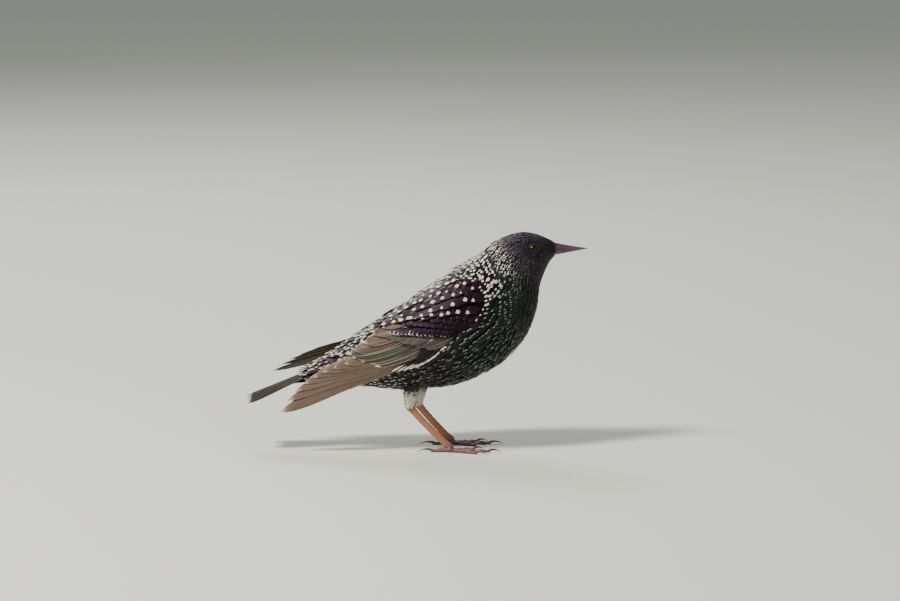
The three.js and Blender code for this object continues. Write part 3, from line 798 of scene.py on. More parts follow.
@dataclass(frozen=True)
class CoatPattern:
    """How long and how close the body feathers are, and their markings, from place to place.

    Lengths come from a row of stations and a row of millimetres there. Markings come from the
    station and from the turn from the back, 0, to the belly, 1, alike on both sides.
    """

    spacing: tuple[tuple[float, ...], ...] = (
        (0.0, 1.6, 4.0, 7.2, 9.2, 11.3, 13.0, 15.0),
        (2.0, 2.7, 3.2, 2.8, 1.8, 1.25, 0.98, 0.62),
    )
    length_in_spacings: float = 4.0
    depth: tuple[tuple[float, ...], ...] = (
        (0.0, 8.0, 11.0, 13.0, 15.0),
        (1.2, 1.3, 0.9, 0.55, 0.25),
    )
    black: Colour = (0.028, 0.025, 0.027)
    green: Colour = (0.021, 0.033, 0.030)
    steel: Colour = (0.052, 0.041, 0.063)
    purple: Colour = (0.020, 0.010, 0.019)
    brown: Colour = (0.030, 0.021, 0.018)
    white: Colour = (0.74, 0.72, 0.60)
    buff: Colour = (0.66, 0.58, 0.39)
    grey_and_shade: Colour = (0.17, 0.17, 0.125)

    def spacing_at(self, station: Array) -> Array:
        """Returns the distance between roots in millimetres."""
        return np.interp(station, *self.spacing)

    def depth_at(self, station: Array) -> Array:
        """Returns how far the skin lies inside the coat in millimetres."""
        return np.interp(station, *self.depth)

    def turn_of(self, angle: Array) -> Array:
        """Returns the turn from the back, 0, to the belly, 1, for any angle."""
        return np.abs((angle + np.pi) % (2 * np.pi) - np.pi) / np.pi

    def nape(self, station: Array, turn: Array) -> Array:
        """Returns how far a place belongs to the nape, from 0 to 1."""
        along = smoothstep(7.2, 8.4, station) * (1 - smoothstep(10.4, 12.4, station))
        return along * (1 - smoothstep(0.38, 0.54, turn))

    def ground(self, station: Array, angle: Array, chance: Array) -> Array:
        """The ground colour and the gloss of each feather.

        Black below and green on the breast, purple on the back, throat and head.

        Args:
            station: Where the feathers grow.
            angle: Where the feathers grow.
            chance: A random number from 0 to 1 for each.

        Returns:
            Red, green, blue and gloss.
        """
        turn = self.turn_of(angle)
        back = 1 - smoothstep(0.25, 0.5, turn)
        head = smoothstep(10.5, 12, station)
        breast = smoothstep(0.35, 0.55, turn) * smoothstep(5.5, 7.5, station)
        breast = np.maximum(breast * (1 - 0.5 * head), 0.5 * head)
        colour = blend_colour(self.black, self.purple, np.clip(back * 0.8 * (1 - head), 0, 1))
        colour = blend_colour(colour, self.green, breast * 0.8)
        above = 1 - 0.55 * smoothstep(0.25, 0.45, turn) * (1 - smoothstep(0.6, 0.8, turn))
        colour = blend_colour(colour, self.steel, head * above)
        rear = smoothstep(0.5, 0.75, turn) * (1 - smoothstep(2.5, 6, station))
        colour = blend_colour(colour, self.brown, rear * 0.6)
        colour = colour * (0.7 + 0.6 * chance)[..., None]
        gloss = np.clip(0.55 + 0.3 * breast + 0.3 * back - 0.5 * rear, 0, 1)
        return np.concatenate([colour, gloss[..., None]], -1)

    def tip(self, station: Array, angle: Array, chance: Array) -> Array:
        """The tip's colour and its share of the length, for each feather.

        Args:
            station: Where the feathers grow.
            angle: Where the feathers grow.
            chance: A random number from 0 to 1 for each.

        Returns:
            Red, green, blue and the share that is pale.
        """
        turn = self.turn_of(angle)
        back = 1 - smoothstep(0.28, 0.5, turn)
        nape = self.nape(station, turn)
        breast = smoothstep(0.35, 0.5, turn) * smoothstep(5.5, 7.5, station)
        face = smoothstep(10.8, 12.5, station)
        throat = smoothstep(9.0, 10.2, station) * smoothstep(0.5, 0.65, turn)
        flank = (1 - smoothstep(3.5, 7.0, station)) * smoothstep(0.35, 0.5, turn)
        ridge = (1 - smoothstep(0.08, 0.22, turn)) * (1 - face)
        share = 0.12 + 0.05 * back + 0.09 * nape + 0.05 * flank + 0.07 * breast + 0.06 * ridge
        share = mix(share, 0.09, np.maximum(face, throat * 0.8))
        # Painted shade: away from the back, nape and flanks the tips blend toward grey, which dims
        # the breast's pale spots as though they lay in shade. The face and throat go further toward
        # grey.
        white = np.clip(0.22 + 0.78 * back + 0.5 * nape + 0.6 * flank, 0, 1)
        white = mix(white, 0.04, np.maximum(face * (1 - 0.12 * back), throat * 0.9))
        colour = blend_colour(self.grey_and_shade, self.white, white)
        warm = back * (1 - nape) * 0.5 * (1 - face)
        colour = blend_colour(colour, self.buff, warm)
        share = share * (0.65 + 0.7 * chance)
        bare = (chance < (0.10 + 0.15 * breast) * (1 - nape)).astype(float)
        return np.concatenate([colour, (share * (1 - bare))[..., None]], -1)

    def form(self, station: Array, angle: Array) -> Array:
        """The shape of the markings: broad tips on the nape, spots above, streaks below.

        Args:
            station: Where the feathers grow.
            angle: Where the feathers grow.

        Returns:
            The tips' taper, the fringe's width and the number of barbs.
        """
        turn = self.turn_of(angle)
        below = smoothstep(0.35, 0.5, turn) * (1 - smoothstep(9.5, 11.0, station))
        return columns(1.0 + 0.6 * below - 0.5 * self.nape(station, turn), 0.0, 22.0)


# Feathers


@dataclass
class Vanes:
    """Many feathers at once. Every field is an array with one entry a feather.

    root holds surface coordinates. Lengths are millimetres, and heading is the turn of the
    feather from the lie, in radians.
    """

    root: Array
    heading: Array
    length: Array
    inner: Array
    outer: Array
    low: Array
    high: Array
    tilt: Array
    crown: Array
    curve: Array
    blunt: Array
    ground: Array
    tip: Array
    form: Array
    patch: Array

    @classmethod
    def alike(cls, root: Array, **values: object) -> "Vanes":
        """Fills each field that is given as one number to all the feathers.

        Args:
            root: Surface coordinates of the roots.
            values: Numbers or arrays by field.

        Returns:
            The feathers.
        """
        count = len(root)
        plain = {"heading": 0.0, "tilt": 0.0, "crown": 0.1, "curve": 0.0, "blunt": 0.5}
        plain |= {"form": SPOTTED, "patch": (0.0, 0.0, 0.0, 0.0)} | values
        full = {
            name: value
            if isinstance(value, np.ndarray) and value.shape[:1] == (count,)
            else np.broadcast_to(np.asarray(value, float), (count, *np.shape(value))).copy()
            for name, value in plain.items()
        }
        return cls(root=root, **full)

    @classmethod
    def between(cls, root: Array, end: Array, **values: object) -> "Vanes":
        """Lays feathers from their roots to their ends, where a surface counts in millimetres.

        Args:
            root: Surface coordinates of the roots.
            end: Surface coordinates of the feathers' ends.
            values: The other fields, as numbers or arrays.

        Returns:
            The feathers.
        """
        run = end - root
        heading, length = np.arctan2(run[:, 1], run[:, 0]), np.hypot(run[:, 0], run[:, 1])
        return cls.alike(root, heading=heading, length=length, **values)


SPOTTED = (1.15, 0.04, 30.0)
EDGED = (-1.1, 0.05, 30.0)
FRINGED = (0.2, 0.2, 90.0)


class VaneDetail(Enum):
    """How finely a feather is made: rows along it, points across its upper and lower face."""

    SMALL = (9, (-1.0, -0.6, -0.2, 0.2, 0.6, 1.0), (0.0,))
    TINY = (7, (-1.0, -0.4, 0.4, 1.0), (0.0,))
    LARGE = (22, (-1.0, -0.66, -0.3, -0.06, 0.0, 0.06, 0.3, 0.66, 1.0), (0.85, 0.0, -0.85))
    COVERT = (14, (-1.0, -0.6, -0.2, 0.0, 0.2, 0.6, 1.0), (0.0,))


@dataclass(frozen=True)
class VaneMaker:
    """Turns feathers into one closed mesh.

    Each feather is a run of rings: points across the upper face and one below the shaft. The
    half width follows the root's narrow part and closes at the tip by a power curve.
    """

    detail: VaneDetail
    thickness: float = 0.16
    shaft: float = 0.0
    root_share: float = 0.55
    tip_start: float = 0.55
    patch_size: float = 0.003
    under_shade: float = 0.22

    def outline(self, along: Array, blunt: Array) -> Array:
        """The half width's share along a feather.

        It is root_share at the root, 1 by the middle, and (1 - x ** p) ** q beyond tip_start,
        with p from 1.2 for a pointed tip to 2.6 for a round one.

        Args:
            along: The place from root, 0, to tip, 1.
            blunt: From 0, pointed, to 1, round.

        Returns:
            The share, at least a small width at the tip.
        """
        base = mix(self.root_share, 1.0, smoothstep(0.0, 0.5, along))
        x = np.clip((along - self.tip_start) / (1 - self.tip_start), 0, 1)
        power = 1.25 + 1.5 * blunt
        close = (1 - x**power) ** mix(0.95, 0.6, blunt)
        return np.maximum(base * close, 0.03)

    def build(self, vanes: Vanes, surface: "BodyShape | WingSurface | TailSurface") -> MeshData:
        """Lays the feathers on a surface.

        Args:
            vanes: The feathers.
            surface: What they lie on, with a spread method.

        Returns:
            One closed mesh with its two maps and its painted colours.
        """
        rows, shares, unders = self.detail.value
        t = 1 - (1 - np.linspace(0, 1, rows)) ** 1.65
        u = np.array([*shares, *unders])
        along, side = t[None, :, None], u[None, None, :]
        under = np.repeat([0.0, 1.0], [len(shares), len(unders)])[None, None, :]
        ridge = np.where(np.abs(side) < 0.01, self.shaft, 0.0) * (1 - under)
        names = "length inner outer low high tilt crown curve blunt heading".split()
        at = {name: getattr(vanes, name)[:, None, None] for name in names}
        half = np.where(side < 0, at["outer"], at["inner"]) * self.outline(along, at["blunt"])
        length = at["length"] * along - 0.25 * at["inner"] * side**2 * along**3
        across = side * half + at["curve"] * along**2
        height = (
            mix(at["low"], at["high"], along)
            + at["tilt"] * side
            - at["crown"] * side**2
            - under * self.thickness * (1 - 0.5 * along) * (1 - 0.8 * side**2)
            + ridge * (1 - along)
        )
        turn = at["heading"]
        run = length * np.cos(turn) - across * np.sin(turn)
        sweep = length * np.sin(turn) + across * np.cos(turn)
        points = surface.spread(vanes.root, run, sweep, np.broadcast_to(height, run.shape))
        return self.stitch(points, t, u, vanes)

    def stitch(self, points: Array, t: Array, u: Array, vanes: Vanes) -> MeshData:
        """Joins the rings of each feather and closes its two ends.

        Args:
            points: Shape (feathers, rows, ring, 3).
            t: The rows' places along.
            u: The ring's places across.
            vanes: The feathers, for their colours and patches.

        Returns:
            The mesh.
        """
        count, rows, ring = points.shape[:3]
        index = np.arange(count * rows * ring).reshape(count, rows, ring)
        turned = np.roll(index, -1, axis=2)
        quads = np.stack([index[:, :-1], index[:, 1:], turned[:, 1:], turned[:, :-1]], -1)
        face = len(self.detail.value[1])
        upper = quads[:, :, : face - 1].reshape(-1, 4)
        lower = quads[:, :, face - 1 :].reshape(-1, 4)
        faces = [upper, lower, np.concatenate([index[:, 0], index[:, -1, ::-1]])]
        local = columns((u[None, :] + 1) / 2, t[:, None]).reshape(-1, 2)
        size = vanes.patch[:, None, 2:] if vanes.patch.shape[1] > 2 else self.patch_size
        bake = (vanes.patch[:, None, :2] + (local - 0.5) * size).reshape(-1, 2)
        local = np.tile(local, (count, 1))
        shade = np.where(np.arange(ring) >= face, self.under_shade, 1.0)
        shade = np.tile(shade, count * rows)[:, None]
        ground, tip, form = (
            np.repeat(values, rows * ring, axis=0)
            for values in (vanes.ground, vanes.tip, np.pad(vanes.form, ((0, 0), (0, 1))))
        )
        form[:, 1:2] *= shade
        return MeshData(
            points.reshape(-1, 3),
            faces,
            [False, True, True],
            {"Vane": [local[f] for f in faces], "OFBake": [bake[f] for f in faces]},
            {"Ground": ground * shade, "Tip": tip, "Form": form},
        )


def grid_patches(count: int, margin: float = 0.004) -> Array:
    """Gives each feather its own cell of the bake's map.

    Args:
        count: How many feathers.
        margin: The gap round each cell.

    Returns:
        The cell's middle and size for each, as four columns.
    """
    across = math.ceil(math.sqrt(count * 1.6))
    down = math.ceil(count / across)
    k = np.arange(count)
    middle = ((k % across + 0.5) / across, (k // across + 0.5) / down)
    return columns(*middle, 1 / across - margin, 1 / down - margin)


def inset(patch: Array) -> Array:
    """Returns places of a map moved in from its edges by 0.01."""
    return 0.01 + 0.98 * patch


def lay_rows(rows: list[tuple[Vanes, VaneMaker]], surface: "WingSurface | TailSurface") -> MeshData:
    """Makes rows of feathers one mesh, each feather with its own cell of the bake's map.

    Args:
        rows: Each row's feathers and what makes them.
        surface: What they lie on.

    Returns:
        The mesh.
    """
    cells = grid_patches(sum(len(vanes.root) for vanes, _ in rows))
    parts = []
    for vanes, maker in rows:
        vanes.patch, cells = cells[: len(vanes.root)], cells[len(vanes.root) :]
        parts.append(maker.build(vanes, surface))
    return join(parts)


@dataclass
class Coat:
    """The small feathers of head, neck and body, in rows round the body like shingles.

    Rows are level lines of the distance from the bill counted in spacings, so that they lie as
    close on the belly as on the back. Each row has a feather every spacing, and every second
    row is shifted by half of one.
    """

    body: BodyShape
    pattern: CoatPattern
    eye: Array
    seed: int = 11
    eye_gap: float = 3.2
    eye_front: float = 2.9
    eye_shape: Vector = (0.92, 0.6, 1.0)
    first: float = 14.86
    last_station: float = 0.8
    row_gap: float = 0.9
    jitter: float = 0.17
    shortest: float = 0.8
    cuts: Pair = (9.25, 11.6)

    def roots(self) -> Array:
        """Finds where the feathers grow.

        Returns:
            Station and angle of each root.
        """
        stations = np.linspace(self.first, self.last_station, 700)
        angles = np.linspace(0, 2 * np.pi, 241)
        here = self.body.point(stations[:, None], angles[None, :])
        steps = np.linalg.norm(np.diff(here, axis=0), axis=-1)
        middle = (stations[1:] + stations[:-1]) / 2
        rows = np.cumsum(steps / self.pattern.spacing_at(middle)[:, None] / self.row_gap, axis=0)
        rows = np.concatenate([np.zeros((1, len(angles))), rows])
        found = []
        for k in range(int(rows.max())):
            level = np.array([np.interp(k + 0.5, row, stations, right=np.nan) for row in rows.T])
            whole = np.nan_to_num(level, nan=self.last_station)
            length = np.linalg.norm(np.diff(self.body.point(whole, angles), axis=0), axis=-1)
            spacing = self.pattern.spacing_at(whole)
            counted = np.concatenate([[0], np.cumsum(length * 2 / (spacing[1:] + spacing[:-1]))])
            total = max(int(round(counted[-1])), 3)
            marks = (np.arange(total) + 0.5 * (k % 2)) * counted[-1] / total
            angle = np.interp(marks, counted, angles)
            station = np.interp(angle, angles, level)
            keep = np.isfinite(station)
            found.append(columns(station[keep], angle[keep]))
        return np.concatenate(found)

    def feathers(self) -> Vanes:
        """Lays out every small feather, with its size and colours.

        Returns:
            The feathers.
        """
        rng = np.random.default_rng(self.seed)
        root = self.roots()
        spacing = self.pattern.spacing_at(root[:, 0])
        jitter = rng.normal(0, self.jitter, root.shape) * spacing[:, None]
        root = root + jitter / self.body.scale(root[:, 0], root[:, 1])
        here = self.body.point(root[:, 0], root[:, 1])
        one_side = here * columns(1.0, np.sign(here[:, 1]), 1.0)
        off_eye = np.linalg.norm((one_side - self.eye) * np.array(self.eye_shape), axis=-1)
        behind = smoothstep(1.0, 2.8, self.eye[0] - here[:, 0])
        length = spacing * self.pattern.length_in_spacings * rng.uniform(0.9, 1.12, len(root))
        ahead = (here[:, 0] > self.eye[0]) & (np.abs(here[:, 2] - self.eye[2]) < 3.1)
        clear = (off_eye - self.eye_front) * 0.95
        length = np.where(ahead, np.minimum(length, clear), length)
        keep = (off_eye > self.eye_gap - 0.3 * behind) & (length > self.shortest)
        root, spacing, length = root[keep], spacing[keep], length[keep]
        count = len(root)
        station, angle = root[:, 0], root[:, 1]
        turn = self.pattern.turn_of(angle)
        throat = smoothstep(9, 10.5, station) * smoothstep(0.45, 0.65, turn)
        breast = smoothstep(0.33, 0.5, turn) * smoothstep(3.5, 6.5, station)
        nape = smoothstep(8.5, 9.5, station) * (1 - smoothstep(12, 13, station))
        lance = np.maximum(np.maximum(throat, 0.75 * breast), nape)
        chance = rng.uniform(0, 1, count)
        half = spacing * mix(0.82, 0.5, lance) * rng.uniform(0.85, 1.15, count)
        flare = rng.uniform(0, 1, count) ** 3
        patch = columns((angle % (2 * np.pi)) / (2 * np.pi), station / self.body.last)
        return Vanes.alike(
            root,
            heading=rng.normal(0, 0.11, count),
            length=length * mix(1.0, 1.2, throat),
            inner=half,
            outer=half,
            low=-self.pattern.depth_at(station) - 0.1,
            high=0.05 + 0.10 * spacing + 0.12 * spacing * flare,
            crown=0.07 * spacing,
            tilt=rng.normal(0, 0.03, count) * spacing,
            blunt=mix(0.6, 0.08, lance) * rng.uniform(0.8, 1.1, count),
            ground=self.pattern.ground(station, angle, chance),
            tip=self.pattern.tip(station, angle, rng.uniform(0, 1, count)),
            form=self.pattern.form(station, angle),
            patch=inset(patch),
        )

    def build(self, material: Material) -> None:
        """Makes the coat in pieces: head, neck, and the body's two sides.

        Args:
            material: The plumage.
        """
        vanes = self.feathers()
        station, angle = vanes.root[:, 0], vanes.root[:, 1] % (2 * np.pi)
        zones = {
            "coat_head": station > self.cuts[1],
            "coat_neck": (station <= self.cuts[1]) & (station > self.cuts[0]),
            "coat_body_left": (station <= self.cuts[0]) & (angle < np.pi),
            "coat_body_right": (station <= self.cuts[0]) & (angle >= np.pi),
        }
        for name, inside in zones.items():
            some = Vanes(**{key: value[inside] for key, value in vars(vanes).items()})
            detail = VaneDetail.TINY if name == "coat_head" else VaneDetail.SMALL
            low, high = some.patch.min(0), some.patch.max(0)
            some.patch = inset((some.patch - low) / (high - low))
            made = VaneMaker(detail, thickness=0.12).build(some, self.body)
            made.to_object(name, material, "plumage")


@dataclass
class Skin:
    """One closed skin under the coat, without a seam between head, neck and body."""

    body: BodyShape
    pattern: CoatPattern
    rings: int = 150
    sides: int = 96
    chance: float = 0.4

    def build(self, material: Material) -> None:
        """Makes the skin, inside the body's surface by the coat's depth.

        Args:
            material: Its finish.
        """
        station = np.linspace(0.5, self.body.last, self.rings)[:, None]
        station, angle = np.broadcast_arrays(station, circle(self.sides)[None, :])
        made = tube(self.body.lifted(station, angle, -self.pattern.depth_at(station)))
        shade = np.full(station.shape, self.chance)
        ground = self.pattern.ground(station, angle, shade).reshape(-1, 4)
        pale = self.pattern.tip(station, angle, shade).reshape(-1, 4)
        ground[:, :3] = mix(ground[:, :3], pale[:, :3], pale[:, 3:])
        made.colours = {"Ground": np.concatenate([ground, ground[[0, -1]]])}
        piece = made.to_object("skin", material, "plumage")
        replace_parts(piece, "torso", "neck", "head")


# Wings


@dataclass(frozen=True)
class WingSurface:
    """The surface on which one folded wing's feathers lie, from the bend to the wing's tip.

    Near the bend it wraps the body round a sloping axis. Behind the body it lies in a plane
    that leans in. A feather's place is its length past the bend and its arc above the edge.
    """

    body: BodyShape
    side: int
    carpal: Pair
    slope: float
    lean: float
    free_y: Pair
    raised: float
    axis: Vector = (10.0, 64.0, 20.0)
    length: float = 131.0
    bow: Vector = (2.6, 18.0, 104.0)
    free: Pair = (60.0, 100.0)
    seat: float = 0.55
    turn_limit: float = 86.0
    lengths: tuple[float, float, int] = (-26.0, 140.0, 167)
    arcs: tuple[float, float, int] = (-16.0, 46.0, 125)
    nudge: float = 1e-4

    def to_axis(self, x: Array, z: Array) -> tuple[Array, Array]:
        """Turns x and z into places along and above the axis.

        Args:
            x: Millimetres forward.
            z: Millimetres up.

        Returns:
            The distance rearward along the axis and the height above it.
        """
        slope = math.radians(self.axis[2])
        dx, dz = x - self.axis[0], z - self.axis[1]
        rear = -dx * math.cos(slope) - dz * math.sin(slope)
        return rear, -dx * math.sin(slope) + dz * math.cos(slope)

    def measure(self, station: Array, angle: Array) -> tuple[Array, ...]:
        """Finds where a point of the body lies about the axis.

        Args:
            station: The body's station.
            angle: The body's angle.

        Returns:
            The distance rearward, the turn up from the side and the radius.
        """
        point = self.body.point(station, angle)
        rear, high = self.to_axis(point[..., 0], point[..., 2])
        return rear, np.arctan2(high, point[..., 1]), np.hypot(high, point[..., 1])

    def radius(self, rear: Array, turn: Array) -> Array:
        """The body's radius about the axis, by Newton's method on station and angle.

        Args:
            rear: Distance rearward along the axis.
            turn: The turn up from the side, in radians.

        Returns:
            The radius.
        """
        station, angle = 6 - rear / 14, np.pi / 2 - turn
        n = self.nudge
        for _ in range(8):
            here = self.measure(station, angle)
            ds, da = self.measure(station + n, angle), self.measure(station, angle + n)
            e, f = here[0] - rear, here[1] - turn
            a, b = (ds[0] - here[0]) / n, (da[0] - here[0]) / n
            c, d = (ds[1] - here[1]) / n, (da[1] - here[1]) / n
            det = a * d - b * c
            station = np.clip(station - (e * d - b * f) / det, 0.3, 10.5)
            angle = np.clip(angle - (a * f - c * e) / det, 0, np.pi)
        return self.measure(station, angle)[2]

    def base(self, length: Array, arc: Array) -> Array:
        """Points of the surface, without the interpolation that spread uses.

        Args:
            length: Millimetres past the bend.
            arc: Millimetres above the leading edge.

        Returns:
            The points, on the left side.
        """
        slope, tip = math.radians(self.axis[2]), math.radians(self.slope)
        depth, start, end = self.bow
        bow = -depth * np.sin(np.pi * np.clip((length - start) / (end - start), 0, 1)) ** 2
        edge_x = self.carpal[0] - length * math.cos(tip)
        edge_z = self.carpal[1] - length * math.sin(tip) + bow
        rear, height = self.to_axis(edge_x, edge_z)
        turn = np.zeros_like(length)
        for _ in range(4):
            turn = np.arcsin(np.clip(height / self.radius(rear, turn), -0.95, 0.95))
        turn = np.minimum(turn + arc / self.radius(rear, turn), math.radians(self.turn_limit))
        radius = self.radius(rear, turn) + self.seat
        up = radius * np.sin(turn)
        wrapped = down_slope(self.axis[:2], slope, rear, radius * np.cos(turn), up)
        out = mix(*self.free_y, (length - self.free[0]) / (self.length - self.free[0]))
        lean = math.radians(self.lean)
        plane = columns(
            edge_x - arc * math.cos(lean) * math.sin(slope),
            out - arc * math.sin(lean),
            edge_z + arc * math.cos(lean) * math.cos(slope),
        )
        return mix(wrapped, plane, smoothstep(*self.free, length)[..., None])

    @cached_property
    def grid(self) -> tuple[Array, Array]:
        """Works the surface and its normals out once on a grid.

        Returns:
            Points and outward normals, shape (lengths, arcs, 3), on the left side.
        """
        length, arc = np.meshgrid(
            np.linspace(*self.lengths), np.linspace(*self.arcs), indexing="ij"
        )
        points = self.base(length, arc)
        normals = unit(np.cross(np.gradient(points, axis=0), np.gradient(points, axis=1)))
        normals = np.where(normals[..., 1:2] < 0, -normals, normals)
        return points, normals

    def spread(self, root: Array, along: Array, across: Array, height: Array) -> Array:
        """Lays a feather's own lengths on the wing from its root toward the wing's tip.

        Args:
            root: Length and arc of each root, shape (feathers, 2).
            along: Millimetres toward the tip.
            across: Millimetres upward from the leading edge.
            height: Millimetres above the surface.

        Returns:
            The points, read from the grid with straight lines between its places.
        """
        length = root[:, 0, None, None] + along
        arc = root[:, 1, None, None] + across
        at = []
        for value, (low, high, count) in ((length, self.lengths), (arc, self.arcs)):
            place = np.clip((value - low) / (high - low) * (count - 1), 0, count - 1.001)
            at.append((place.astype(int), (place % 1)[..., None]))
        (i, s), (j, t) = at
        found = [
            mix(mix(grid[i, j], grid[i + 1, j], s), mix(grid[i, j + 1], grid[i + 1, j + 1], s), t)
            for grid in self.grid
        ]
        made = found[0] + unit(found[1]) * height[..., None]
        return made * np.array([1, self.side, 1])


@dataclass(frozen=True)
class FeatherRow:
    """One row of a wing's feathers, from the leading edge up.

    first and last are the tips' length past the bend and arc above the edge, back is the
    feathers' length, and lift holds their heights at root and tip. Rows of the lapping layer
    take the body's colours instead of ground, pale and spot.
    """

    name: str
    count: int
    first: Pair
    last: Pair
    back: float
    slant: float
    width: float
    lift: Pair
    step: float = 0.0
    ground: Colour = (0.0, 0.0, 0.0)
    pale: Colour = (0.0, 0.0, 0.0)
    spot: float = 0.0
    blunt: float = 0.7
    gloss: float = 0.2
    detail: VaneDetail = VaneDetail.COVERT
    layer: str = "coverts"
    bulge: float = 0.0
    jitter: float = 0.5
    on_back: bool = False
    form: Vector = SPOTTED
    sag: float = 0.0
    swell: float = 0.0


@dataclass(frozen=True)
class CoverGroup:
    """Rows of body feathers that lap over the wing.

    Each row holds its count, its first and last tip, the feathers' length, the tips' lift and
    the row's bulge.
    """

    name: str
    width: float
    low: float
    blunt: float
    jitter: float
    rows: tuple[tuple, ...]

    def made(self) -> list[FeatherRow]:
        """Makes the group's rows.

        Returns:
            The rows, from the lowest layer out.
        """
        return [
            FeatherRow(
                f"{self.name} cover {k}", count, first, last, back, 0, self.width,
                (self.low, high), blunt=self.blunt, detail=VaneDetail.SMALL, layer="lapping",
                bulge=bulge, jitter=self.jitter,
            )
            for k, (count, first, last, back, high, bulge) in enumerate(self.rows, 1)
        ]


COVERS = (
    CoverGroup("breast", 2.1, -1.2, 0.15, 1.3, (
        (18, (-3, -3.5), (-10.5, 15), 8.5, 0.1, -2.5),
        (18, (0, -2), (-7.5, 17.5), 8.5, 0.6, -2.8),
        (18, (3, 0), (-4.5, 19), 8.5, 1.1, -3.2),
        (18, (6, 2), (-2, 21), 8.5, 1.6, -3.5),
        (18, (9.5, 4.5), (1, 23), 8.5, 2.2, -4.0),
    )),
    CoverGroup("mantle", 1.8, -1.2, 0.15, 1.1, (
        (14, (12, 26.5), (19, 36), 7, 2.2, -0.4),
        (15, (9, 25), (15.5, 35.5), 7, 2.0, -0.4),
        (16, (6.3, 23.5), (12, 35), 7, 1.75, -0.4),
        (17, (3.8, 22), (8.8, 35), 7, 1.5, -0.4),
        (18, (1.3, 20.5), (5.6, 34.5), 7, 1.25, -0.4),
        (18, (-1.2, 19), (2.5, 34), 7, 0.95, -0.4),
        (18, (-3.7, 18), (-0.6, 33.5), 7, 0.6, -0.4),
        (18, (-6.2, 17), (-3.7, 33), 7, 0.2, -0.4),
    )),
    CoverGroup("flank", 2.6, -0.9, 0.3, 1.5, (
        (12, (25, -6), (4, 0), 12, 1.4, 0.0),
        (12, (30, -3.2), (9, 3), 12, 2.2, 0.0),
        (13, (36, -0.8), (13, 6), 13, 2.9, 0.0),
    )),
)


